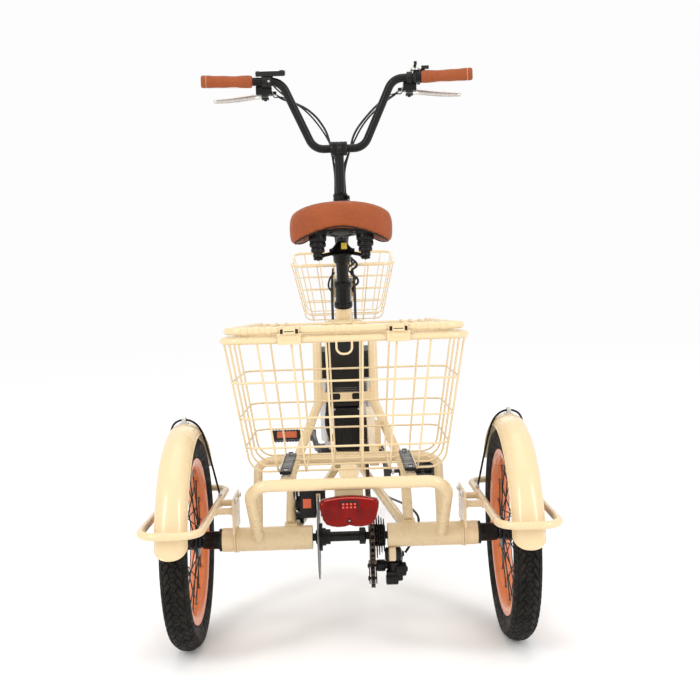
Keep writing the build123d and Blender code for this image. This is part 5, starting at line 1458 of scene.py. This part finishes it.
lid_trim = Shape()
for group in (-0.8, 0, 0.8):
    for shift in (-0.11, 0, 0.11):
        share = group + shift
        lid_trim.turned(ring(5, 6.4, 7.6), (share * 196.2, BASKET_BACK, LID_Z), X, 28)
        wire_wrap(lid_trim, (share * 175, BASKET_FRONT, LID_Z), X, 2.5, 3, 1.2)
for x in both(98):
    lid_trim.part = 0
    lid_trim.box((x - 11, -127.2, LID_Z - 7.8), (x + 11, -124.2, LID_Z + 6.6), 1.0)
    # Painted shade: thin dark slivers set back in the gaps beside each hinge tab, and a dark line across the
    # tab.
    lid_trim.part = 1
    for edge in both(13):
        lid_trim.box((x + edge - 3.2, -124.9, LID_Z - 6.6), (x + edge + 3.2, -124.2, LID_Z + 1.4), 0.2)
    lid_trim.box((x - 9, -127.6, LID_Z - 3.4), (x + 9, -126.9, LID_Z - 2.0), 0.2)
lid_trim.make("lid_wire_wraps", "lid", [CREAM, SOFT_BLACK_AND_GAP_SHADE], "cream_paint")

rim_trim = Shape()
for x in both(98):
    rim_trim.box((x - 21, -125.2, 583.5), (x - 13, -123.2, 599.2), 1.0)
    rim_trim.box((x + 13, -125.2, 583.5), (x + 21, -123.2, 599.2), 1.0)
    rim_trim.box((x - 21, -125.4, 583), (x + 21, -123.0, 590), 1.0)
    for pin_x in both(19):
        rim_trim.turned(ring(2, 1.4, 3.2), (x + pin_x, -123.5, HINGE_Z), X, 20)
rim_trim.make("hinge_plates", "frame", CREAM, "cream_paint")

def weld_bead(shape, place, inner, outer, sides):
    """A raised ring of weld round a tube that runs sideways."""
    shape.turned([(-2.5, inner), (-1.5, outer), (1.5, outer), (2.5, inner)], place, X, sides)


bolts = Shape()
for side in both(1):
    bolts.part = 0
    for y in both(40):
        weld_bead(bolts, (side * 221, y, 268), 6.2, 8.2, 24)
        weld_bead(bolts, (side * 252, y, 268), 6.2, 8.6, 24)
    weld_bead(bolts, AXLE + X * side * 220.5, 22.6, 25, 40)
    weld_bead(bolts, AXLE + X * side * 215.5, 22.6, 25, 40)
    bolts.part = 1
    for y in (30, -30):
        bolts.bolt((side * 215.8, y, 286), X * -side, 9, 5)
    for y, z in ((-94, 343), (94, 336)):
        bolts.bolt((side * 114, y, z), -Z, 9, 4)
    for y in both(95):
        bolts.cap_screw((side * 114, y, 351.4), Z, 5.2, 3.4)
for x in both(16):
    bolts.bolt((x, -117, LIGHT_LOW + 24), Y, 7, 4)
bolts.make("frame_beads_and_bolts", "frame", [CREAM, STEEL], "bright_steel")

crossbar = Shape()
for x in both(26):
    crossbar.prism(pack_outline(13, -7, 7, 4, 4), (x, 315, 443), X, Z, -0.6, 0.4)
crossbar.make("crossbar_windows", "frame", BLACK, "black_paint")


# ---------------------------------------------------------------------------
# Lights and floor
# ---------------------------------------------------------------------------
def area_light(name, place, target, size, power, colour=(1, 1, 1)):
    data = bpy.data.lights.new(name, "AREA")
    data.shape = "RECTANGLE"
    data.size, data.size_y = size
    data.energy = power
    data.color = colour
    light = bpy.data.objects.new(name, data)
    bpy.context.scene.collection.objects.link(light)
    light.location = place
    light.rotation_euler = (Vector(target) - Vector(place)).to_track_quat("-Z", "Y").to_euler()


FLOOR_HALF = 30
DAYLIGHT = (1.0, 0.98, 0.95)
world = bpy.data.worlds.new("studio")
bpy.context.scene.world = world
world.use_nodes = True
world.node_tree.nodes["Background"].inputs[0].default_value = (1.0, 1.0, 1.0, 1)
world.node_tree.nodes["Background"].inputs[1].default_value = 0.98
area_light("key_left", (-2.2, -2.6, 2.0), (0, -0.2, 0.6), (0.5, 1.8), 34, DAYLIGHT)
area_light("key_right", (2.3, -2.3, 1.7), (0, -0.2, 0.6), (0.5, 1.8), 26, DAYLIGHT)
area_light("top", (0, -0.3, 3.2), (0, 0, 0.4), (2.4, 2.4), 16)
area_light("back", (0, 3.0, 2.2), (0, 0, 0.6), (2.2, 1.2), 6)

floor_mesh = bpy.data.meshes.new("floor")
floor_mesh.from_pydata([(x * FLOOR_HALF, y * FLOOR_HALF, 0) for x, y in ((-1, -1), (1, -1), (1, 1), (-1, 1))],
                       [], [(0, 1, 2, 3)])
floor = bpy.data.objects.new("floor", floor_mesh)
bpy.context.scene.collection.objects.link(floor)
floor_finish = Finish("pale_floor", (1.0, 1.0, 1.0), 0.9, specular=0.0)
floor_finish.rough(floor_finish.noise(3, 3), 0.7, 0.85)
floor_mesh.materials.append(floor_finish.material)
bpy.context.scene.view_settings.view_transform = "Standard"
